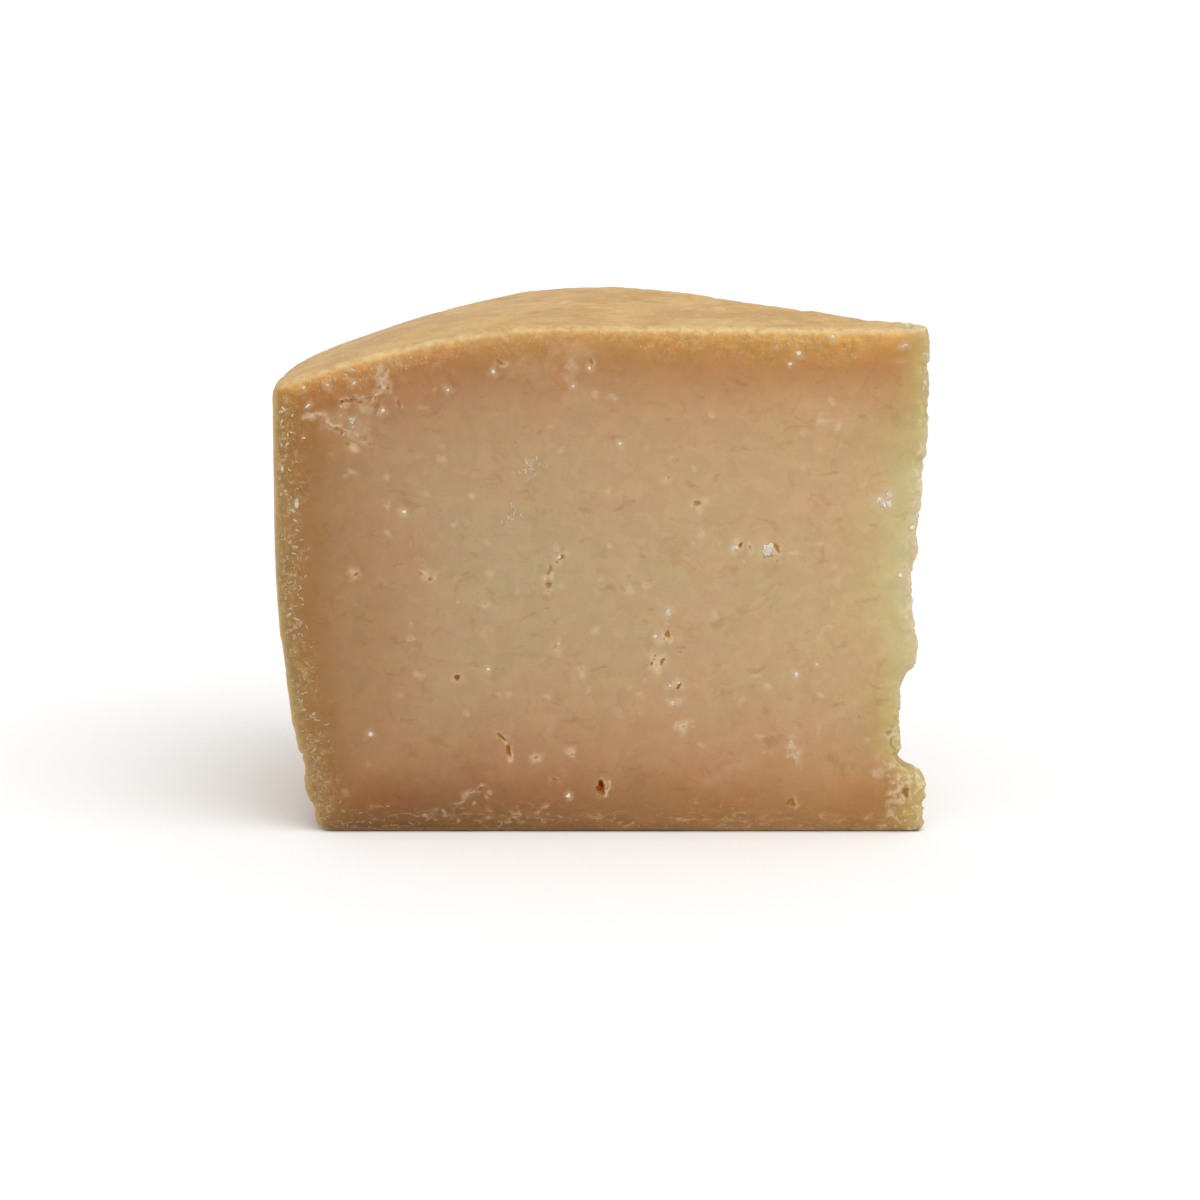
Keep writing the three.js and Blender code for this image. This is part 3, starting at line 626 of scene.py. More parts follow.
def add_pale(skin, face, pale, rng):
    """A pale place with a soft uneven outline."""
    along, up, wide, high, lean, strength = pale
    index = skin.near(face, along, up, max(wide, high) + 1)
    out, angle = skin.local(face, index, along, up, wide, high, lean)
    out = out / ragged(angle, rng, 0.16)
    grain = noise(skin.points[index], 0.8, rng.integers(1000))
    patch = min(1.0, 1.25 * strength) * smooth_step(out + 0.5 * grain, 1.4, 0.3)
    skin.whiten(index, patch)
    skin.sink[face][index] -= PALE_RISE * patch


# ---- seeded marks

BACK_PITS = 34
BACK_CRACKS = 7
BACK_PALES = 52
BACK_CRYSTALS = 34
FRONT_CURVES, BACK_CURVES = 30, 34  # short soft folds
SMALL_PITS, SMALL_PALES = 26, 70  # on each cut


def place_on_cut(rng, face, margin=3.0):
    """A place on a cut, clear of its outline."""
    while True:
        along, up = rng.uniform(0, WHEEL_RADIUS), rng.uniform(0, WHEEL_HEIGHT)
        if inside_cut(face, along, up, margin):
            return along, up


def seeded_pits(rng, face, count, smallest, largest):
    pits = []
    for _ in range(count):
        along, up = place_on_cut(rng, face)
        size = smallest + (largest - smallest) * rng.random() ** 2.5
        wide = size * rng.uniform(0.5, 1.0)
        deep = 0.7 * size * rng.uniform(0.7, 1.1)
        dark = min(1.0, 0.25 + 0.35 * size) * rng.uniform(0.7, 1)
        pits.append((along, up, wide, size, deep, rng.uniform(-80, 80), dark, rng.random()))
    return pits


def seeded_paths(rng, face, count, shortest, longest, bend):
    """Lines that curl a little as they run."""
    paths = []
    for _ in range(count):
        at = np.array(place_on_cut(rng, face, 7.0))
        heading = rng.normal(0.35, 0.7)
        turn = rng.uniform(-bend, bend)
        step = rng.uniform(shortest, longest) / 4
        path = [tuple(at)]
        for _ in range(4):
            heading += turn + rng.uniform(-0.2, 0.2)
            at = at + step * np.array([math.cos(heading), math.sin(heading)])
            path.append(tuple(at))
        paths.append(path)
    return paths


def seeded_cracks(rng, face, count):
    cracks = []
    for path in seeded_paths(rng, face, count, 3.0, 8.0, 0.6):
        edge = rng.uniform(0.5, 1)
        cracks.append((path, rng.uniform(0.5, 0.8), 0.3, rng.uniform(0, 0.3), edge))
    return cracks


def seeded_lines(rng, face, count):
    lines = []
    for path in seeded_paths(rng, face, count, 1.5, 8.0, 0.45):
        lines.append((path, rng.uniform(0.5, 1.1), rng.uniform(0.16, 0.34), 0.0))
    return lines


def seeded_pales(rng, face, count, largest):
    pales = []
    for _ in range(count):
        along, up = place_on_cut(rng, face)
        wide, high = rng.uniform(0.7, largest, 2)
        pales.append((along, up, wide, high, rng.uniform(-80, 80), rng.uniform(0.15, 0.5)))
    return pales


def seeded_crystals(rng, face, count):
    crystals = []
    for _ in range(count):
        along, up = place_on_cut(rng, face)
        size = 0.5 + 1.5 * rng.random() ** 3
        wide, high = size * rng.uniform(0.7, 1.1, 2)
        crystals.append((along, up, wide, high, rng.uniform(-80, 80)))
    return crystals


def halo(crystal):
    """The pale place round a crystal."""
    along, up, wide, high, lean = crystal
    return along, up, 1.4 * wide + 0.9, 1.4 * high + 0.9, lean, 0.38


chance = np.random.default_rng(SEED + 3)
small_pits = {face: seeded_pits(chance, face, SMALL_PITS, 0.25, 0.5) for face in (FRONT, BACK)}
marks = {
    FRONT: {
        "pits": FRONT_PITS + small_pits[FRONT],
        "cracks": FRONT_CRACKS,
        "lines": FRONT_LINES + seeded_lines(chance, FRONT, FRONT_CURVES),
        "pales": FRONT_PALES + seeded_pales(chance, FRONT, SMALL_PALES, 1.6),
        "crystals": FRONT_CRYSTALS,
    },
    BACK: {
        "pits": seeded_pits(chance, BACK, BACK_PITS, 0.5, 2.4) + small_pits[BACK],
        "cracks": seeded_cracks(chance, BACK, BACK_CRACKS),
        "lines": seeded_lines(chance, BACK, BACK_CURVES),
        "pales": seeded_pales(chance, BACK, BACK_PALES + SMALL_PALES, 2.6),
        "crystals": seeded_crystals(chance, BACK, BACK_CRYSTALS),
    },
}

# Scuffed places, where slivers of paste lie close: along, up, width, height, how many.
SCUFFS = {
    FRONT: [(48.3, 72.0, 6.0, 5.0, 26), (45.0, 62.2, 4.5, 8.0, 26), (13.0, 81.0, 8.0, 6.0, 12)],
    BACK: [(38.0, 66.0, 6.0, 5.0, 24), (86.0, 34.0, 5.0, 7.0, 24)],
}


# ---- the skin


def near_marks(points, face, margin):
    """Which points of a cut are close to a pit or a crack."""
    along, up = face.along(points), points[:, 2]
    shallow = face.depth(points) < REFINED
    close = np.zeros(len(points), bool)
    for pit in marks[face]["pits"]:
        reach = 0.6 * max(pit[2], pit[3]) + margin
        close |= np.hypot(along - pit[0], up - pit[1]) < reach
    for path, wide, *_ in marks[face]["cracks"]:
        middle, reach = path_reach(path)
        some = np.flatnonzero(np.hypot(along - middle[0], up - middle[1]) < reach)
        close[some] |= distance_to_path(along[some], up[some], path)[0] < wide + margin
    return close & shallow


def wanted_first(points):
    """The front cut, the heel beside it, the tip and the back cut's marks are refined once."""
    front = FRONT.depth(points) < REFINED
    heel = (FRONT.depth(points) < 8) & (rind_depth(points) < 1.5) & (points[:, 2] < HEEL_TOP)
    return front | heel | (TIP.depth(points) < 5) | near_marks(points, BACK, 1.2)


def wanted_second(points):
    """Marks, the outline of the front cut and the tip are refined again."""
    marked = near_marks(points, FRONT, 0.7) | near_marks(points, BACK, 0.4)
    outline = (FRONT.depth(points) < 1.2) & (rind_depth(points) < 1.2)
    return marked | outline | (TIP.depth(points) < 2.6)


def wanted_third(points):
    """The middle of each mark in the front cut is refined a third time."""
    return near_marks(points, FRONT, 0.3)


def shape_tip(skin, normals):
    """Relief of the broken tip: lumps, grains and teeth, a cut-in shelf and a crumbly foot."""
    up = skin.points[:, 2]
    torn = smooth_step(skin.tip, 3.0, 0.4)
    foot = smooth_step(up, 17, 10) * smooth_step(skin.tip, 9, 5)
    coarse = rough_noise(skin.points, 3.2, 31, 3)
    grains = 1 - np.abs(noise(skin.points, 1.3, 35)) * 2
    lumps = 1 - np.abs(noise(skin.points, 2.4, 37)) * 2
    notches = smooth_step(noise(skin.points, 2.6, 39), 0.35, 0.75)
    teeth = noise(skin.points, 0.8, 36)
    shelf = smooth_step(up, FOOT_TOP - 2.9, FOOT_TOP - 1.8)
    shelf *= smooth_step(up, FOOT_TOP + 1.2, FOOT_TOP - 0.6)
    push = torn * (0.34 * coarse + 0.22 * grains + 0.16 * teeth - 0.6 * notches - 2.4 * shelf)
    push += foot * (0.26 * lumps + 0.12 * grains)
    skin.torn = np.maximum(torn, 0.8 * foot)
    return normals * push[:, None]


def shape_rind(skin, normals):
    """Lumps and chips along the rind's edges, dents over it, and the side's torn heel."""
    outside = smooth_step(skin.rind, 2.0, 0.5)
    cut = np.minimum(skin.depth[FRONT], skin.depth[BACK])
    edge = outside * smooth_step(cut, 1.8, 0.4)
    chips = np.clip(noise(skin.points, 2.2, 44) - 0.45, 0, None)
    push = edge * (0.12 * noise(skin.points, 1.7, 41) + 0.14 * noise(skin.points, 3.4, 42))
    push -= edge * 1.1 * chips
    push += outside * (0.10 * rough_noise(skin.points, 5.0, 43, 3))
    push += outside * (0.16 * noise(skin.points, 16.0, 45))
    push -= outside * 0.9 * np.clip(noise(skin.points, 3.2, 48) - 0.42, 0, None)
    move = normals * push[:, None]

    side, _, up = rind_distances(skin.points)
    bulge = hump(up, *BULGE) * (1 + 0.5 * noise(skin.points, 5.0, 46))
    chip = hump(up, *CHIPPED) * edge
    crumbly = smooth_step(up, 18, 12) * noise(skin.points, 2.4, 47)
    teeth = smooth_step(cut, 4.0, 1.0) * smooth_step(up, HEEL_TOP, 15)
    teeth *= rough_noise(skin.points, 2.0, 49, 2)
    swell = RIM_DRAWN_OUT + 0.9 * bulge - 0.6 * chip + 0.3 * crumbly + 0.3 * teeth
    swell -= np.interp(up, *HEEL_STEPS) * smooth_step(skin.depth[FRONT], 14.0, 7.0)
    move[:, :2] += (swell * smooth_step(side, 4.0, 0.8))[:, None] * headings(skin.points)
    return move


def shape_cuts(skin):
    """The knife's faint unevenness on both cuts, and the grainy band under the rind."""
    for face, seed in ((FRONT, 61), (BACK, 71)):
        on_cut = smooth_step(skin.depth[face], 1.2, 0.3)
        dents = noise(skin.points, 6.0, seed)
        soft = noise(skin.points, 2.6, seed + 1)
        fine = noise(skin.points, 1.2, seed + 2)
        band = smooth_step(skin.rind, 7.0, 1.5)
        skin.sink[face] += on_cut * (0.07 * dents + 0.04 * soft + 0.02 * fine)
        skin.sink[face] += on_cut * band * (0.09 * soft + 0.09 * fine)


def corner_gap(points):
    """Distance from the rim's corner or the base's corner, whichever is nearer."""
    side, top, base = rind_distances(points)
    return np.hypot(side, np.minimum(top, base))


def smooth_form(mesh):
    """Rounds the edges and takes the solid's facets out of the cuts, the rind and the tip."""
    points, edges = points_of(mesh), edges_of(mesh)
    points = relax(points, edges, EDGE_PASSES, 0.5)
    for face in (FRONT, BACK):
        points = flatten_cut(points, edges, face)
    clear = np.minimum.reduce([FRONT.depth(points), BACK.depth(points), TIP.depth(points)])
    clear = smooth_step(clear, 0.9, 2.4)
    points = true_rind(points, clear)
    on_rind = (rind_depth(points) < 1.5) * smooth_step(corner_gap(points), 2.0, 5.0)
    points = relax(points, edges, RIND_PASSES, (on_rind * clear)[:, None] * 0.5)
    near_tip = smooth_step(TIP.depth(points), 4.0, 2.0)
    near_tip *= smooth_step(rind_depth(points), 0.5, 2.5)
    points = relax(points, edges, TIP_PASSES, near_tip[:, None] * 0.5)
    set_points(mesh, points)


def refine(mesh):
    """Makes the mesh finer in steps, most of all where it carries marks."""
    for wanted in (wanted_first, wanted_second, wanted_third):
        subdivide_where(mesh, wanted)
        points, edges = points_of(mesh), edges_of(mesh)
        flat = np.minimum(rind_depth(points), TIP.depth(points)) > FLAT_TO
        points = relax(points, edges, 2, np.where(flat, 0.0, 0.3)[:, None])
        set_points(mesh, points)


def build_skin():
    mesh = even_mesh()
    smooth_form(mesh)
    refine(mesh)
    skin = Skin(points_of(mesh))
    press_marks(skin)
    shape_cuts(skin)
    normals = rows_of(mesh.vertex_normals, "vector", 3).astype(float)
    push = shape_tip(skin, normals) + shape_rind(skin, normals)
    keep_base = smooth_step(skin.points[:, 2], 0.2, 1.5)[:, None]
    moved = skin.points + push * keep_base
    for face in (FRONT, BACK):
        moved[:, :2] -= skin.sink[face][:, None] * face.outward
    moved[:, 2] = np.maximum(moved[:, 2], 0.0)
    set_points(mesh, moved)

    bm = bmesh.new()
    bm.from_mesh(mesh)
    bmesh.ops.triangulate(bm, faces=bm.faces)
    bm.to_mesh(mesh)
    bm.free()
    write_fields(mesh, skin)
    return finish_piece("cheese_skin", mesh)


def press_marks(skin):
    rng = np.random.default_rng(SEED)
    for face in (FRONT, BACK):
        pales = marks[face]["pales"] + [halo(crystal) for crystal in marks[face]["crystals"]]
        for pale in pales:
            add_pale(skin, face, pale, rng)
        for line in marks[face]["lines"]:
            draw_line(skin, face, line, rng)
        for crack in marks[face]["cracks"]:
            press_crack(skin, face, crack, rng)
        for pit in marks[face]["pits"]:
            press_pit(skin, face, pit, rng)


def write_fields(mesh, skin):
    """Leaves what the material needs to know of each point on the mesh."""
    cut = np.minimum(skin.depth[FRONT], skin.depth[BACK])
    outside = smooth_step(skin.rind, 1.3, 0.5) * smooth_step(np.minimum(cut, skin.tip), 0.25, 0.9)
    rind, cut = np.clip(skin.rind, 0, None), np.clip(cut, 0, None)
    near_top, near_base = rind_shares(skin.points)
    side, top, base = rind_distances(skin.points)
    rim_corner = smooth_step(np.hypot(side, top), 27, 7) * smooth_step(rind, 0.3, 1.4)
    heel_corner = smooth_step(np.hypot(side - 8, base), 19, 8) * smooth_step(rind, 3.0, 6.0)
    foot_corner = smooth_step(base, 13, 5) * smooth_step(np.abs(skin.tip - 9), 10, 4)
    offset = skin.points[:, :2] - AXIS
    fields = {
        "rind_mm": rind,
        "tip_mm": np.clip(skin.tip, 0, None),
        "heart_mm": WHEEL_RADIUS - np.hypot(offset[:, 0], offset[:, 1]),
        "near_top": near_top,
        "near_base": near_base,
        "amber": np.maximum.reduce([0.8 * rim_corner, 0.5 * heel_corner, 0.45 * foot_corner]),
        "outer": outside,
        # The band where a cut meets the rind; the material paints a highlight, a reflection or
        # shade on it.
        "edge": hump(np.hypot(1.5 * rind, 0.7 * cut), 0, 1.15),
        "pit": np.clip(skin.pit, 0, 1),
        "pale": np.clip(skin.pale, 0, 1),
        "torn": skin.torn,
    }
    for name, values in fields.items():
        attribute = mesh.attributes.new(name, "FLOAT", "POINT")
        attribute.data.foreach_set("value", values.astype(np.float32))


def finish_piece(name, mesh):
    """Puts a mesh made in millimetres into the scene, smooth, riding on the wedge's body."""
    mesh.transform(Matrix.Scale(MM, 4))
    mesh.name = name
    mesh.shade_smooth()
    piece = linked(name, mesh)
    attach(piece, BODY)
    return piece


# ---- crystals and flakes


def joined_mesh(name, parts):
    """One mesh from a list of (points, triangles), none of it below the base."""
    points, faces, start = [], [], 0
    for part_points, part_faces in parts:
        points.append(part_points)
        faces.append(part_faces + start)
        start += len(part_points)
    points = np.concatenate(points)
    points[:, 2] = np.maximum(points[:, 2], 0.0)
    mesh = bpy.data.meshes.new(name)
    mesh.from_pydata(points.tolist(), [], np.concatenate(faces).tolist())
    mesh.update()
    return mesh


def ball(detail):
    """Points and triangles of a ball of radius 1."""
    bm = bmesh.new()
    bmesh.ops.create_icosphere(bm, subdivisions=detail, radius=1.0)
    points = np.array([v.co for v in bm.verts])
    faces = np.array([[v.index for v in f.verts] for f in bm.faces])
    bm.free()
    return points, faces


def lumpy_ball(detail, rng, lump, coarse, fine):
    """A ball whose surface swells and sinks in lumps of this size, and in smaller ones."""
    points, faces = ball(detail)
    seed = rng.integers(1000)
    size = 1 + coarse * noise(points, lump, seed) + fine * noise(points, lump / 2, seed + 1)
    return points * size[:, None], faces


def on_plane(face, along, up, lean, x, y):
    """Points of a cut's plane at offsets x and y from a place, turned by lean degrees."""
    turn = math.radians(lean)
    across = x * math.cos(turn) + y * math.sin(turn)
    rise = -x * math.sin(turn) + y * math.cos(turn)
    placed = np.empty((len(x), 3))
    placed[:, :2] = face.place(along, up)[:2] - across[:, None] * face.towards_rim
    placed[:, 2] = up + rise
    return placed


CRYSTAL_STAND = 0.22  # how far a lump stands out, as a share of its breadth
LARGE_CRYSTAL = 1.4  # this and larger ones are several lumps
LUMPS = 5


def crystal_lump(face, place, rng):
    """A chalky lump, half sunk in a cut."""
    along, up, wide, high, lean = place
    points, faces = lumpy_ball(3 if max(wide, high) > 1.0 else 2, rng, 0.9, 0.5, 0.25)
    placed = on_plane(face, along, up, lean, points[:, 0] * wide / 2, points[:, 2] * high / 2)
    out = points[:, 1] * CRYSTAL_STAND * min(wide, high)
    placed[:, :2] += out[:, None] * face.outward
    return placed, faces


def crystal(face, place, rng):
    """A small crystal is one lump, a large one a few that have grown together."""
    along, up, wide, high, lean = place
    if max(wide, high) < LARGE_CRYSTAL:
        return [crystal_lump(face, place, rng)]
    lumps = []
    for _ in range(LUMPS):
        x, y = rng.uniform(-0.28, 0.28, 2) * (wide, high)
        share = rng.uniform(0.45, 0.7)
        spot = (along + x, up + y, share * wide, share * high, lean + rng.uniform(-40, 40))
        lumps.append(crystal_lump(face, spot, rng))
    return lumps


def build_crystals():
    rng = np.random.default_rng(SEED + 1)
    parts = []
    for face in (FRONT, BACK):
        for place in marks[face]["crystals"]:
            parts += crystal(face, place, rng)
    return finish_piece("crystals", joined_mesh("crystals", parts))


RIND_FLAKES = 170  # on each cut
FLAKE_ZONE = 6.5  # how far in from the rind flakes lie
FLAKE_CLUMP = 5.0  # flakes gather in clumps of about this size
FLAKE_BEND = 0.22
FLAKE_STAND = 0.06
DEEPEST_FLAKE = 0.7  # below a cut's plane; where the skin lies deeper, no flake is laid
CLEAR_OF_TIP = 9.0  # the tip has no flakes this far in
CAST_FROM = 3.0  # rays down to the skin start this far out from a cut's plane


def surface_of(skin):
    """The skin's triangles for casting rays at, in millimetres."""
    points = points_of(skin.data) / MM
    triangles = rows_of(skin.data.polygons, "vertices", 3, np.int32)
    return BVHTree.FromPolygons(points.tolist(), triangles.tolist(), all_triangles=True)


def laid_down(points, face, surface):
    """The points moved onto the skin below them, or None where it is missing or too deep."""
    outward = Vector((*face.outward, 0.0))
    laid = points.copy()
    for number, point in enumerate(points):
        start = Vector(point) + CAST_FROM * outward
        _, _, _, gap = surface.ray_cast(start, -outward, 2 * CAST_FROM)
        if gap is None or gap - CAST_FROM > DEEPEST_FLAKE:
            return None
        laid[number, :2] -= (gap - CAST_FROM) * face.outward
    return laid


def flake(face, place, rng, surface):
    """A short ragged chip of hard cheese, laid on a cut: a bent, lumpy, flat stroke."""
    along, up, long, wide, lean = place
    points, faces = lumpy_ball(2, rng, 0.8, 0.45, 0.35)
    bend = rng.uniform(-FLAKE_BEND, FLAKE_BEND)
    x = points[:, 0] * long / 2
    y = points[:, 2] * wide / 2 + bend * long * (points[:, 0] ** 2 - 0.3)
    placed = laid_down(on_plane(face, along, up, lean, x, y), face, surface)
    if placed is None:
        return None
    placed[:, :2] += (FLAKE_STAND * points[:, 1])[:, None] * face.outward
    return placed, faces


def rind_flakes(face, seed, rng, surface):
    """Flakes in clumps under the rind, most of them by the side."""
    chips = []
    while len(chips) < RIND_FLAKES:
        along, up = rng.uniform(0, 0.95 * WHEEL_RADIUS), rng.uniform(0, WHEEL_HEIGHT)
        place = face.place(along, up)[None]
        top, base = [share[0] for share in rind_shares(place)]
        if rind_depth(place)[0] > FLAKE_ZONE * (1 - 0.6 * top) * rng.random() ** 0.8:
            continue
        if rng.random() < max(0.6 * base, 0.6 * top * (along > 25)):
            continue
        if noise(place, FLAKE_CLUMP, seed)[0] < rng.uniform(-0.6, 0.4):
            continue
        long = rng.uniform(0.45, 1.0) * (1 + 1.1 * rng.random() ** 4)
        inside = inside_cut(face, along, up, 0.7 + 0.5 * long)
        if not inside or TIP.depth(place)[0] < CLEAR_OF_TIP:
            continue
        wide, lean = long * rng.uniform(0.25, 0.5), rng.uniform(-90, 90)
        chip = flake(face, (along, up, long, wide, lean), rng, surface)
        if chip:
            chips.append(chip)
    return chips


def scuff_flakes(face, scuff, rng, surface):
    """Steep slivers, close together in a scuffed place."""
    along, up, wide, high, count = scuff
    chips = []
    for _ in range(count):
        x, y = rng.normal(0, 0.22, 2) * (wide, high)
        long, lean = rng.uniform(0.35, 1.0), rng.normal(-60, 35)
        chips.append(flake(face, (along + x, up + y, long, 0.3 * long, lean), rng, surface))
    return [chip for chip in chips if chip]


def build_flakes(skin):
    rng = np.random.default_rng(SEED + 2)
    surface = surface_of(skin)
    parts = []
    for face, seed in ((FRONT, 81), (BACK, 82)):
        parts += rind_flakes(face, seed, rng, surface)
        for scuff in SCUFFS[face]:
            parts += scuff_flakes(face, scuff, rng, surface)
    return finish_piece("rind_flakes", joined_mesh("rind_flakes", parts))


# ---- materials


def srgb(red, green, blue):
    """A colour given as 0 to 255 the way a screen shows it, as linear light."""
    linear = []
    for value in (red, green, blue):
        value = value / 255
        linear.append(value / 12.92 if value <= 0.04045 else ((value + 0.055) / 1.055) ** 2.4)
    return (*linear, 1.0)


BUMP_DEPTH = 0.0002  # metres


class Value:
    """One output of a node. Sums and products of values are written with + - * and /."""

    def __init__(self, nodes, socket):
        self.nodes = nodes
        self.socket = socket

    def __add__(self, other):
        return self.nodes.math("ADD", self, other)

    def __sub__(self, other):
        return self.nodes.math("SUBTRACT", self, other)

    def __rsub__(self, other):
        return self.nodes.math("SUBTRACT", other, self)

    def __mul__(self, other):
        return self.nodes.math("MULTIPLY", self, other)

    def __truediv__(self, other):
        return self.nodes.math("DIVIDE", self, other)

    def larger(self, other):
        return self.nodes.math("MAXIMUM", self, other)

    def span(self, low, high, to_low=0.0, to_high=1.0):
        """The value carried from one range to another, and held at its ends."""
        inputs = {"Value": self, 1: low, 2: high, 3: to_low, 4: to_high}
        return self.nodes.value("ShaderNodeMapRange", inputs, interpolation_type="SMOOTHSTEP")

    def tint(self, factor):
        return self.nodes.mix(1.0, self, factor, "MULTIPLY")


class Nodes:
    """Short calls for a node tree. A node's inputs are given by name or number."""

    def __init__(self, tree):
        self.tree = tree
        tree.nodes.clear()

    def add(self, kind, inputs, **settings):
        node = self.tree.nodes.new(kind)
        for name, value in settings.items():
            setattr(node, name, value)
        for name, value in inputs.items():
            if isinstance(value, Value):
                self.tree.links.new(value.socket, node.inputs[name])
            else:
                node.inputs[name].default_value = value
        return node

    def value(self, kind, inputs, output=0, **settings):
        return Value(self, self.add(kind, inputs, **settings).outputs[output])

    def math(self, operation, a, b=0.0, clamp=False):
        return self.value("ShaderNodeMath", {0: a, 1: b}, operation=operation, use_clamp=clamp)

    def mix(self, share, a, b, blend="MIX"):
        inputs = {0: share, 6: a, 7: b}
        return self.value("ShaderNodeMix", inputs, 2, data_type="RGBA", blend_type=blend)

    def grey(self, value):
        return self.value("ShaderNodeCombineColor", {0: value, 1: value, 2: value})

    def field(self, name):
        return self.value("ShaderNodeAttribute", {}, "Fac", attribute_name=name)

    def moved(self, vector, shift, stretch=(1.0, 1.0, 1.0)):
        inputs = {"Vector": vector, "Location": (shift, shift, shift), "Scale": stretch}
        return self.value("ShaderNodeMapping", inputs)

    def millimetres(self):
        """The place on the piece, in millimetres."""
        place = self.value("ShaderNodeTexCoord", {}, "Object")
        return self.moved(place, 0.0, (1 / MM, 1 / MM, 1 / MM))

    def height(self, place):
        return self.value("ShaderNodeSeparateXYZ", {"Vector": place}, "Z")

    def noise(self, vector, scale, detail=2.0, roughness=0.5, distortion=0.0):
        inputs = {"Vector": vector, "Scale": scale, "Detail": detail}
        inputs |= {"Roughness": roughness, "Distortion": distortion}
        return self.value("ShaderNodeTexNoise", inputs, "Fac")

    def strands(self, vector, scale, thin, shift, twist=1.6, detail=1.5):
        """Thin curled lines: where twisted noise passes through its middle value."""
        noise = self.noise(self.moved(vector, shift), scale, detail, 0.5, twist)
        return self.math("ABSOLUTE", noise - 0.5).span(thin, 0.0)

    def ramp(self, value, stops, reach, colour_of=srgb):
        """A colour for each value up to reach, from (value, red, green, blue) stops."""
        node = self.add("ShaderNodeValToRGB", {"Fac": value / reach})
        elements = node.color_ramp.elements
        placed = [(at / reach, colour_of(*levels)) for at, *levels in stops]
        elements[0].position, elements[0].color = placed[0]
        elements[1].position, elements[1].color = placed[-1]
        for position, colour in placed[1:-1]:
            elements.new(position).color = colour
        return Value(self, node.outputs["Color"])

    def levels(self, value, stops, reach):
        """A plain number for each value up to reach, from (value, number) stops."""
        return self.ramp(value, stops, reach, lambda level: (level, level, level, 1))

    def surface(self, inputs, relief=None, strength=0.0):
        """The material's one shader, with a fine bump where relief is given."""
        if relief is not None:
            bump = {"Height": relief, "Strength": strength, "Distance": BUMP_DEPTH}
            inputs = {**inputs, "Normal": self.value("ShaderNodeBump", bump)}
        shader = self.value("ShaderNodeBsdfPrincipled", inputs)
        self.add("ShaderNodeOutputMaterial", {"Surface": shader})


def new_material(name):
    material = bpy.data.materials.new(name)
    material.use_nodes = True
    return material, Nodes(material.node_tree)


# The paste's colour at distances in from the rind, in millimetres: from the wheel's side, from
# its top and from its base, near the rim and near the wheel's heart. Painted light is in them:
# a painted highlight in the first millimetre under the top and the side, paste lighter near the
# top partly as painted light from above, and darker towards the base partly as painted shade.
RAMP_REACH = 60.0
COLOUR_WANDER = 9.0  # how far the colours stray from those distances, at most about half of it
SIDE_STOPS = [
    (0, 166, 137, 92), (1.1, 157, 128, 76), (1.9, 150, 118, 65),
    (3.4, 148, 109, 56), (5.7, 148, 107, 57), (8.4, 152, 112, 66),
    (9.9, 155, 116, 74), (11.8, 158, 121, 79), (16.7, 161, 124, 83),
    (24, 168, 131, 92), (30, 173, 141, 104), (43, 173, 151, 114),
    (60, 173, 151, 114),
]
TOP_RIM_STOPS = [
    (0, 212, 188, 140), (0.8, 204, 170, 112), (1.4, 194, 148, 88),
    (2.2, 186, 138, 78), (3.2, 177, 126, 70), (4.4, 169, 117, 65),
    (6.5, 164, 115, 69), (10.5, 164, 119, 80), (17, 170, 134, 96),
    (26, 173, 144, 107), (60, 173, 151, 114),
]
TOP_HEART_STOPS = [
    (0, 218, 188, 128), (0.8, 210, 174, 105), (1.6, 201, 153, 82),
    (3, 192, 141, 68), (5, 183, 132, 67), (7, 177, 127, 71),
    (9, 178, 132, 82), (12, 183, 141, 94), (16, 187, 150, 106),
    (30, 189, 157, 114), (60, 189, 161, 117),
]
BASE_RIM_STOPS = [
    (0, 108, 70, 30), (1, 112, 74, 31), (2.7, 119, 82, 38),
    (4.9, 125, 84, 43), (7.2, 134, 90, 49), (9.9, 147, 100, 60),
    (13.7, 158, 114, 76), (16.5, 163, 119, 81), (25, 170, 139, 102),
    (60, 173, 151, 114),
]
BASE_HEART_STOPS = [
    (0, 158, 116, 72), (1.5, 158, 114, 66), (5.5, 164, 116, 68),
    (10, 174, 129, 83), (14, 179, 138, 95), (25, 186, 151, 109),
    (33, 189, 157, 115), (60, 189, 161, 117),
]
# The heart's colours are lighter, partly younger paste and partly painted light towards the tip's
# end.
HEART_FROM, HEART_TO = 25.0, 105.0  # from the rim's colours to the heart's, in from the side

# The colour at distances in from the broken tip: paler broken paste, with a painted glow of light
# shining through the thin tip.
TIP_REACH = 20.0
TIP_GLOW_STOPS = [
    (0, 196, 182, 149), (1.5, 193, 178, 136), (3, 193, 178, 129),
    (5, 193, 176, 124), (8, 192, 170, 119), (12, 188, 163, 113),
    (20, 185, 156, 110),
]
# How much narrower than that the tip's pale colours and painted glow are, and how golden, by
# height.
TIP_HEIGHT = 100.0
TIP_NARROWING = [
    (0, 0.65), (10, 0.65), (18, 0.65), (27, 0.5),
    (40, 0.3), (68, 0.3), (80, 0.6), (98, 0.8),
]
TIP_NARROWEST = 3.1
TIP_GOLDEN = [
    (0, 1.0), (24, 0.85), (36, 0.0), (72, 0.0),
    (84, 0.85), (98, 1.0),
]
TIP_FADE = (19, 1.5)
GOLDEN = (0.86, 0.78, 0.62, 1)
AMBER = (0.98, 0.87, 0.52, 1)
# The colour inside a mark, by how dark the mark is: browner paste, with painted shade in the
# hollows of pits and cracks.
PIT_BROWN_AND_SHADE_STOPS = [
    (0, 174, 134, 88), (0.4, 184, 133, 66), (0.75, 196, 128, 40),
    (1, 196, 106, 18),
]

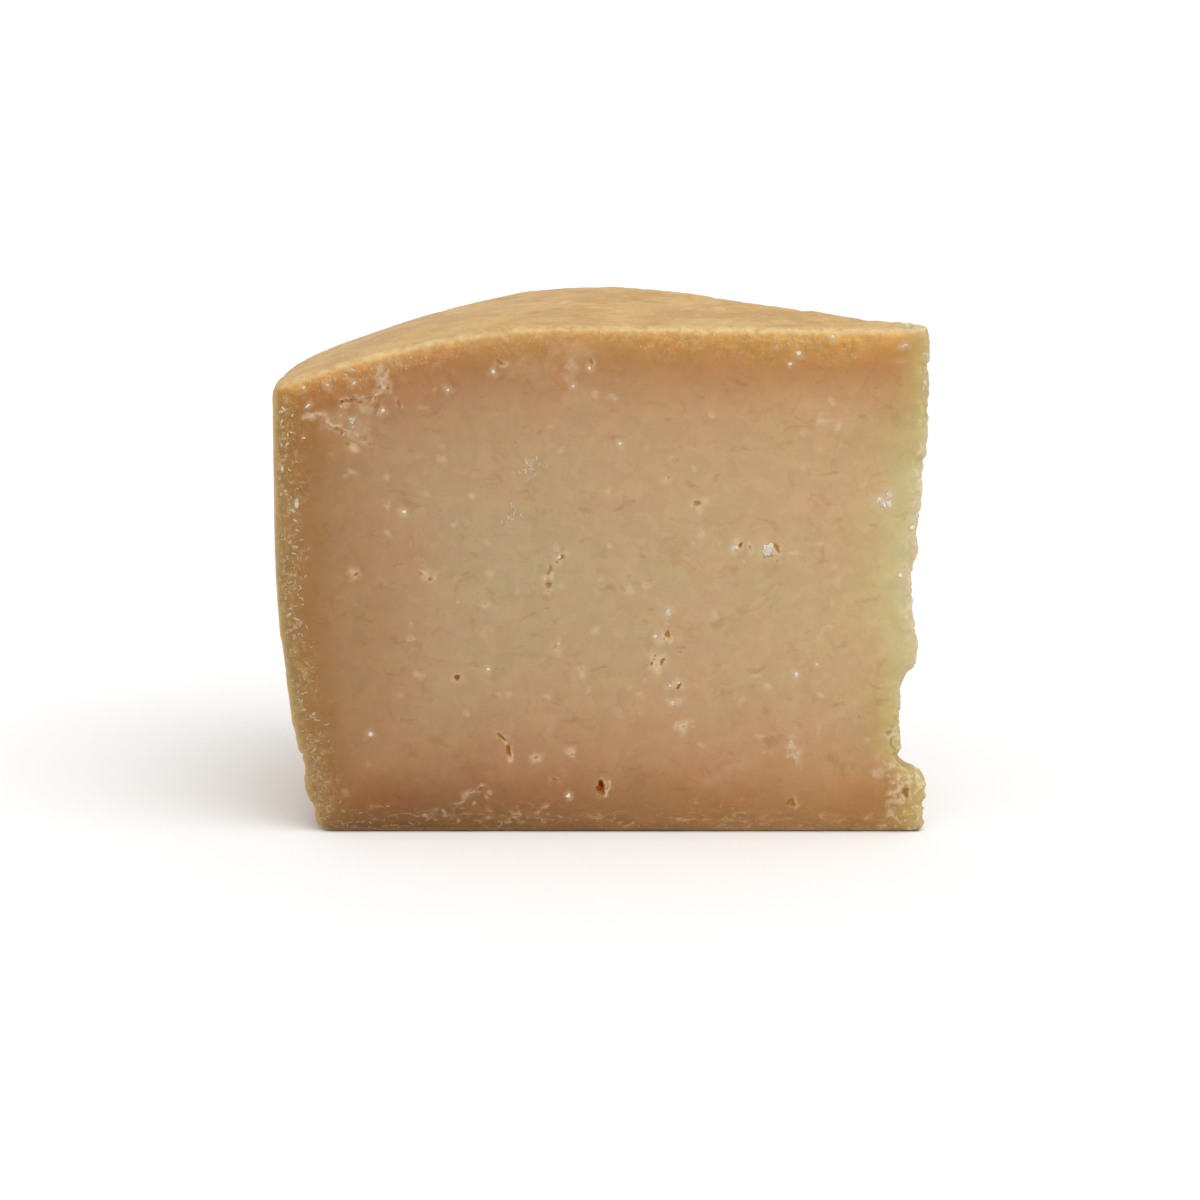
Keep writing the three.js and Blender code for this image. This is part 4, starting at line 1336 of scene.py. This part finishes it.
# Factors that tint what lies below them, then colours that cover it.
PINKISH = (1.035, 0.985, 0.985, 1)
OLIVE = (0.985, 1.0, 0.965, 1)
SMUDGE = (0.84, 0.74, 0.60, 1)
RIND_AT_BASE = (0.62, 0.52, 0.40, 1)
RIND_DARK = srgb(182, 140, 79)
RIND_LIGHT = srgb(197, 158, 93)
RIND_RUBBED = srgb(209, 179, 132)
RIND_PRESSED = srgb(166, 121, 64)
RIND_SPOT = srgb(145, 100, 50)
# The band where a cut meets the rind: a painted highlight along the top, a painted reflection
# along the side, and along the base dark rind with painted shade where it meets the floor.
EDGE_TOP_HIGHLIGHT = srgb(221, 203, 158)
EDGE_SIDE_REFLECTION = srgb(170, 151, 116)
EDGE_BASE = srgb(112, 76, 38)
EDGE_BASE_HEART = srgb(186, 154, 112)
PALE_COLOUR = srgb(206, 182, 148)
STRAND_COLOUR = srgb(200, 174, 134)
CRUMB_COLOUR = srgb(216, 200, 162)
CRYSTAL_CREAM = srgb(214, 196, 164)
CRYSTAL_WHITE = srgb(236, 224, 204)


def paste_colour_and_painted_light(nodes, place, rind, tip, blotch):
    """The cheese's colour from where a point is in the wheel, with painted light and shade in it:
    a highlight under the top edge, shade towards the base, and a glow at the tip.
    """
    wander = (blotch - 0.5) * COLOUR_WANDER
    depth = rind + wander * rind.span(2, 20)
    heart = nodes.field("heart_mm") - HEART_FROM
    heart = nodes.math("DIVIDE", heart, HEART_TO - HEART_FROM, clamp=True)
    tables = (SIDE_STOPS, TOP_RIM_STOPS, TOP_HEART_STOPS, BASE_RIM_STOPS, BASE_HEART_STOPS)
    ramps = [nodes.ramp(depth, stops, RAMP_REACH) for stops in tables]
    side, top_rim, top_heart, base_rim, base_heart = ramps
    colour = nodes.mix(nodes.field("near_top"), side, nodes.mix(heart, top_rim, top_heart))
    base = nodes.mix(heart, base_rim, base_heart)
    colour = nodes.mix(nodes.field("near_base"), colour, base)

    height = nodes.height(place)
    tip_depth = tip + wander * tip.span(1, 8)
    tip_depth *= nodes.levels(height, TIP_NARROWING, TIP_HEIGHT) * TIP_NARROWEST
    # Paler broken paste with a painted glow of light through the thin tip.
    tip_glow = nodes.ramp(tip_depth, TIP_GLOW_STOPS, TIP_REACH)
    golden = nodes.levels(height, TIP_GOLDEN, TIP_HEIGHT)
    tip_glow = nodes.mix(golden, tip_glow, tip_glow.tint(GOLDEN))
    colour = nodes.mix(tip_depth.span(*TIP_FADE), colour, tip_glow)
    return nodes.mix(nodes.field("amber"), colour, colour.tint(AMBER))


def mottled(nodes, colour, place, speck):
    """Pinkish and olive clouds, soft paler ones, and a fine unevenness."""
    cloud = nodes.noise(place, 0.09, 3.0, 0.55, 0.5).span(0.36, 0.64)
    colour = nodes.mix(cloud, colour.tint(PINKISH), colour.tint(OLIVE))
    haze = nodes.noise(place, 0.30, 3.0, 0.6, 0.8).span(0.34, 0.68, 0.955, 1.045)
    return colour.tint(nodes.grey(haze * speck.span(0.3, 0.7, 0.98, 1.02)))


def rind_colour(nodes, place):
    """Waxy golden rind, with paler rubbed places and browner pressed ones."""
    cloud = nodes.noise(place, 0.10, 4.0, 0.6, 0.4)
    rubbed = nodes.noise(place, 0.34, 4.0, 0.62, 0.35)
    spots = nodes.noise(place, 0.8, 2.0, 0.5, 0.5)
    colour = nodes.mix(cloud.span(0.36, 0.66), RIND_DARK, RIND_LIGHT)
    colour = nodes.mix(rubbed.span(0.54, 0.74, 0, 0.65), colour, RIND_RUBBED)
    colour = nodes.mix(rubbed.span(0.44, 0.28, 0, 0.6), colour, RIND_PRESSED)
    return nodes.mix(spots.span(0.68, 0.76, 0, 0.35), colour, RIND_SPOT)


def smudged(nodes, colour, place, rind):
    """Brown smudges, and a few fine streaks, away from the rind."""
    wide = nodes.strands(place, 0.12, 0.045, 13, 0.5, 0.0)
    narrow = nodes.strands(place, 0.25, 0.075, 71, 0.5, 0.0)
    sparse = nodes.noise(nodes.moved(place, 29), 0.16, 2.0).span(0.54, 0.66, 0, 0.36)
    smudges = nodes.noise(nodes.moved(place, 53, (0.7, 0.7, 1.2)), 0.34, 2.0, 0.55, 0.5)
    marked = (wide.larger(narrow) * sparse).larger(smudges.span(0.61, 0.73, 0, 0.62))
    return nodes.mix(marked * rind.span(3, 8), colour, colour.tint(SMUDGE))


def grainy_under_rind(nodes, colour, place, rind, tip, blotch):
    """The band under the rind, with pale curls and curds by the side and strokes by the base."""
    near_base = nodes.field("near_base")
    zone = (rind + blotch.span(0.3, 0.7, -2, 2)).span(7.5, 1.5) * tip.span(5, 11)
    curls = nodes.strands(place, 0.42, 0.034, 0).larger(nodes.strands(place, 0.95, 0.045, 40))
    curls = curls * nodes.noise(place, 0.6).span(0.46, 0.62) * zone
    colour = nodes.mix(curls * near_base.span(0.2, 0.8, 0.55, 0.06), colour, STRAND_COLOUR)
    curds = nodes.noise(place, 1.15, 2.0, 0.55, 0.9)
    smears = nodes.noise(nodes.moved(place, 7, (0.55, 0.55, 1.2)), 0.75, 3.0, 0.6, 1.2)
    curds = nodes.mix(near_base, nodes.grey(curds), nodes.grey(smears))
    colour = nodes.mix(curds.span(0.52, 0.70, 0, 0.42) * zone, colour, STRAND_COLOUR)
    specks = nodes.noise(place, 0.9, 3.0, 0.65)
    layers = nodes.noise(nodes.moved(place, 17, (0.25, 0.25, 1.5)), 0.7, 3.0, 0.6)
    flecks = nodes.mix(near_base, nodes.grey(specks), nodes.grey(layers))
    flecks = flecks.span(0.3, 0.7, 0.86, 1.12) * zone + (1.0 - zone)
    return colour.tint(nodes.grey(flecks)), curls


def with_rind(nodes, colour, place):
    """The rind's own colour outside, and the band where a cut meets it: a painted highlight along
    the top, a painted reflection along the side, and dark rind with painted shade along the base.
    """
    near_base = nodes.field("near_base")
    rind = rind_colour(nodes, place)
    rind = nodes.mix(near_base, rind, rind.tint(RIND_AT_BASE))
    colour = nodes.mix(nodes.field("outer"), colour, rind)
    heart = nodes.field("heart_mm").span(55, 110)
    # Painted highlight under the top, painted reflection on the side, dark rind and painted shade
    # at the base.
    edge = nodes.mix(nodes.field("near_top"), EDGE_SIDE_REFLECTION, EDGE_TOP_HIGHLIGHT)
    edge = nodes.mix(near_base, edge, nodes.mix(heart, EDGE_BASE, EDGE_BASE_HEART))
    lumpy = nodes.noise(place, 0.8).span(0.34, 0.62, 0.2, 0.85)
    return nodes.mix(nodes.field("edge") * lumpy, colour, edge)


def marked_colour(nodes, colour, place, torn):
    """Crumbs on the torn tip, pale places, and the dark insides of pits and cracks: browner paste
    with painted shade.
    """
    crumbs = nodes.noise(place, 0.7, 3.0, 0.6, 0.4).span(0.52, 0.66, 0, 0.75)
    colour = nodes.mix(crumbs * torn, colour, CRUMB_COLOUR)
    patchy = nodes.noise(nodes.moved(place, 91), 1.3, 3.0, 0.6).span(0.36, 0.60, 0.6, 1)
    colour = nodes.mix(nodes.field("pale") * patchy, colour, PALE_COLOUR)
    pit = nodes.field("pit")
    return nodes.mix(pit.span(0, 0.65, 0, 0.95), colour, nodes.ramp(pit, PIT_BROWN_AND_SHADE_STOPS, 1.0))


def cheese_material():
    material, nodes = new_material("aged_cheese")
    place = nodes.millimetres()
    rind, tip, torn = nodes.field("rind_mm"), nodes.field("tip_mm"), nodes.field("torn")
    blotch = nodes.noise(place, 0.12, 3.0)
    speck = nodes.noise(place, 1.9, 3.0, 0.6, 0.4)

    colour = paste_colour_and_painted_light(nodes, place, rind, tip, blotch)
    colour = mottled(nodes, colour, place, speck)
    colour = smudged(nodes, colour, place, rind)
    colour, curls = grainy_under_rind(nodes, colour, place, rind, tip, blotch)
    colour = with_rind(nodes, colour, place)
    colour = marked_colour(nodes, colour, place, torn)

    grain = nodes.noise(place, 2.6, 4.0, 0.6)
    pores = nodes.noise(place, 0.8, 3.0, 0.55, 0.8)
    raised = curls * 0.6 * (1.0 - nodes.field("outer"))
    inputs = {
        "Base Color": colour,
        "Roughness": speck.span(0.3, 0.7, 0.44, 0.56) + torn * 0.12 + curls * 0.15,
        "IOR": 1.45,
        "Specular IOR Level": 0.4,
        "Subsurface Weight": 0.3,
        "Subsurface Radius": (1.0, 0.62, 0.3),
        "Subsurface Scale": 0.0024,
    }
    nodes.surface(inputs, grain * 0.35 + pores * 0.65 + raised, 0.35)
    return material


def chalk_shader(nodes, colour, mottle):
    """A dull, slightly translucent surface for the small pieces."""
    inputs = {
        "Base Color": colour,
        "Roughness": mottle.span(0.3, 0.7, 0.44, 0.56),
        "Subsurface Weight": 0.4,
        "Subsurface Radius": (1.0, 0.8, 0.6),
        "Subsurface Scale": 0.001,
    }
    nodes.surface(inputs, mottle, 0.4)


def crystal_material():
    """Chalky white, a little mottled."""
    material, nodes = new_material("crystal")
    mottle = nodes.noise(nodes.millimetres(), 1.6, 3.0, 0.6)
    colour = nodes.mix(mottle.span(0.35, 0.65), CRYSTAL_CREAM, CRYSTAL_WHITE)
    chalk_shader(nodes, colour, mottle)
    return material


# The flakes' colour by height, up to the wheel's top.
FLAKE_TOP = 100.0
FLAKE_STOPS = [
    (0, 152, 120, 82), (10, 170, 138, 98), (25, 186, 155, 115),
    (58, 200, 171, 132), (62, 218, 192, 158), (100, 216, 190, 150),
]


def flake_material():
    """Creamy chips, browner and darker towards the base."""
    material, nodes = new_material("rind_flake")
    place = nodes.millimetres()
    mottle = nodes.noise(place, 1.1, 3.0, 0.6)
    shade = nodes.grey(mottle.span(0.35, 0.65, 0.86, 1.08))
    colour = nodes.ramp(nodes.height(place), FLAKE_STOPS, FLAKE_TOP)
    chalk_shader(nodes, colour.tint(shade), mottle)
    return material


# ---- stage, light and camera

FLOOR_COLOUR = (0.88, 0.88, 0.88, 1)
CAMERA_PLACE = (-0.44, -1157.96, 297.8)
CAMERA_PITCH = 77.313
CAMERA_LENS = 180.0


def build_stage():
    bm = bmesh.new()
    bmesh.ops.create_circle(bm, cap_ends=True, radius=6.0, segments=96)
    mesh = bpy.data.meshes.new("floor")
    bm.to_mesh(mesh)
    bm.free()
    floor = linked("floor", mesh)
    material, nodes = new_material("pale_floor")
    nodes.surface({"Base Color": FLOOR_COLOUR, "Roughness": 0.9, "Specular IOR Level": 0.1})
    mesh.materials.append(material)


def add_soft_sun(name, towards, angle, strength):
    """A broad, even light from far off."""
    data = bpy.data.lights.new(name, "SUN")
    data.angle, data.energy = math.radians(angle), strength
    light = linked(name, data)
    light.rotation_euler = Vector(towards).to_track_quat("Z", "Y").to_euler()


def build_light():
    scene = bpy.context.scene
    scene.view_settings.view_transform = "Standard"
    world = bpy.data.worlds.new("studio")
    world.use_nodes = True
    nodes = Nodes(world.node_tree)
    sky = nodes.value("ShaderNodeBackground", {"Color": (1, 1, 1, 1), "Strength": 0.8})
    nodes.add("ShaderNodeOutputWorld", {"Surface": sky})
    scene.world = world
    add_soft_sun("over", (0.35, -0.45, 1.0), 60, 1.5)


def build_camera():
    data = bpy.data.cameras.new("camera")
    data.lens, data.sensor_width = CAMERA_LENS, 36.0
    data.clip_start, data.clip_end = 0.01, 50.0
    camera = linked("camera", data)
    camera.location = Vector(CAMERA_PLACE) * MM
    camera.rotation_euler = (math.radians(CAMERA_PITCH), 0, 0)
    bpy.context.scene.camera = camera


# ---- putting it together

skin = build_skin()
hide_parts(NODE)
skin.data.materials.append(cheese_material())
crystals = build_crystals()
crystals.data.materials.append(crystal_material())
flakes = build_flakes(skin)
flakes.data.materials.append(flake_material())
build_stage()
build_light()
build_camera()

bpy.context.view_layer.update()
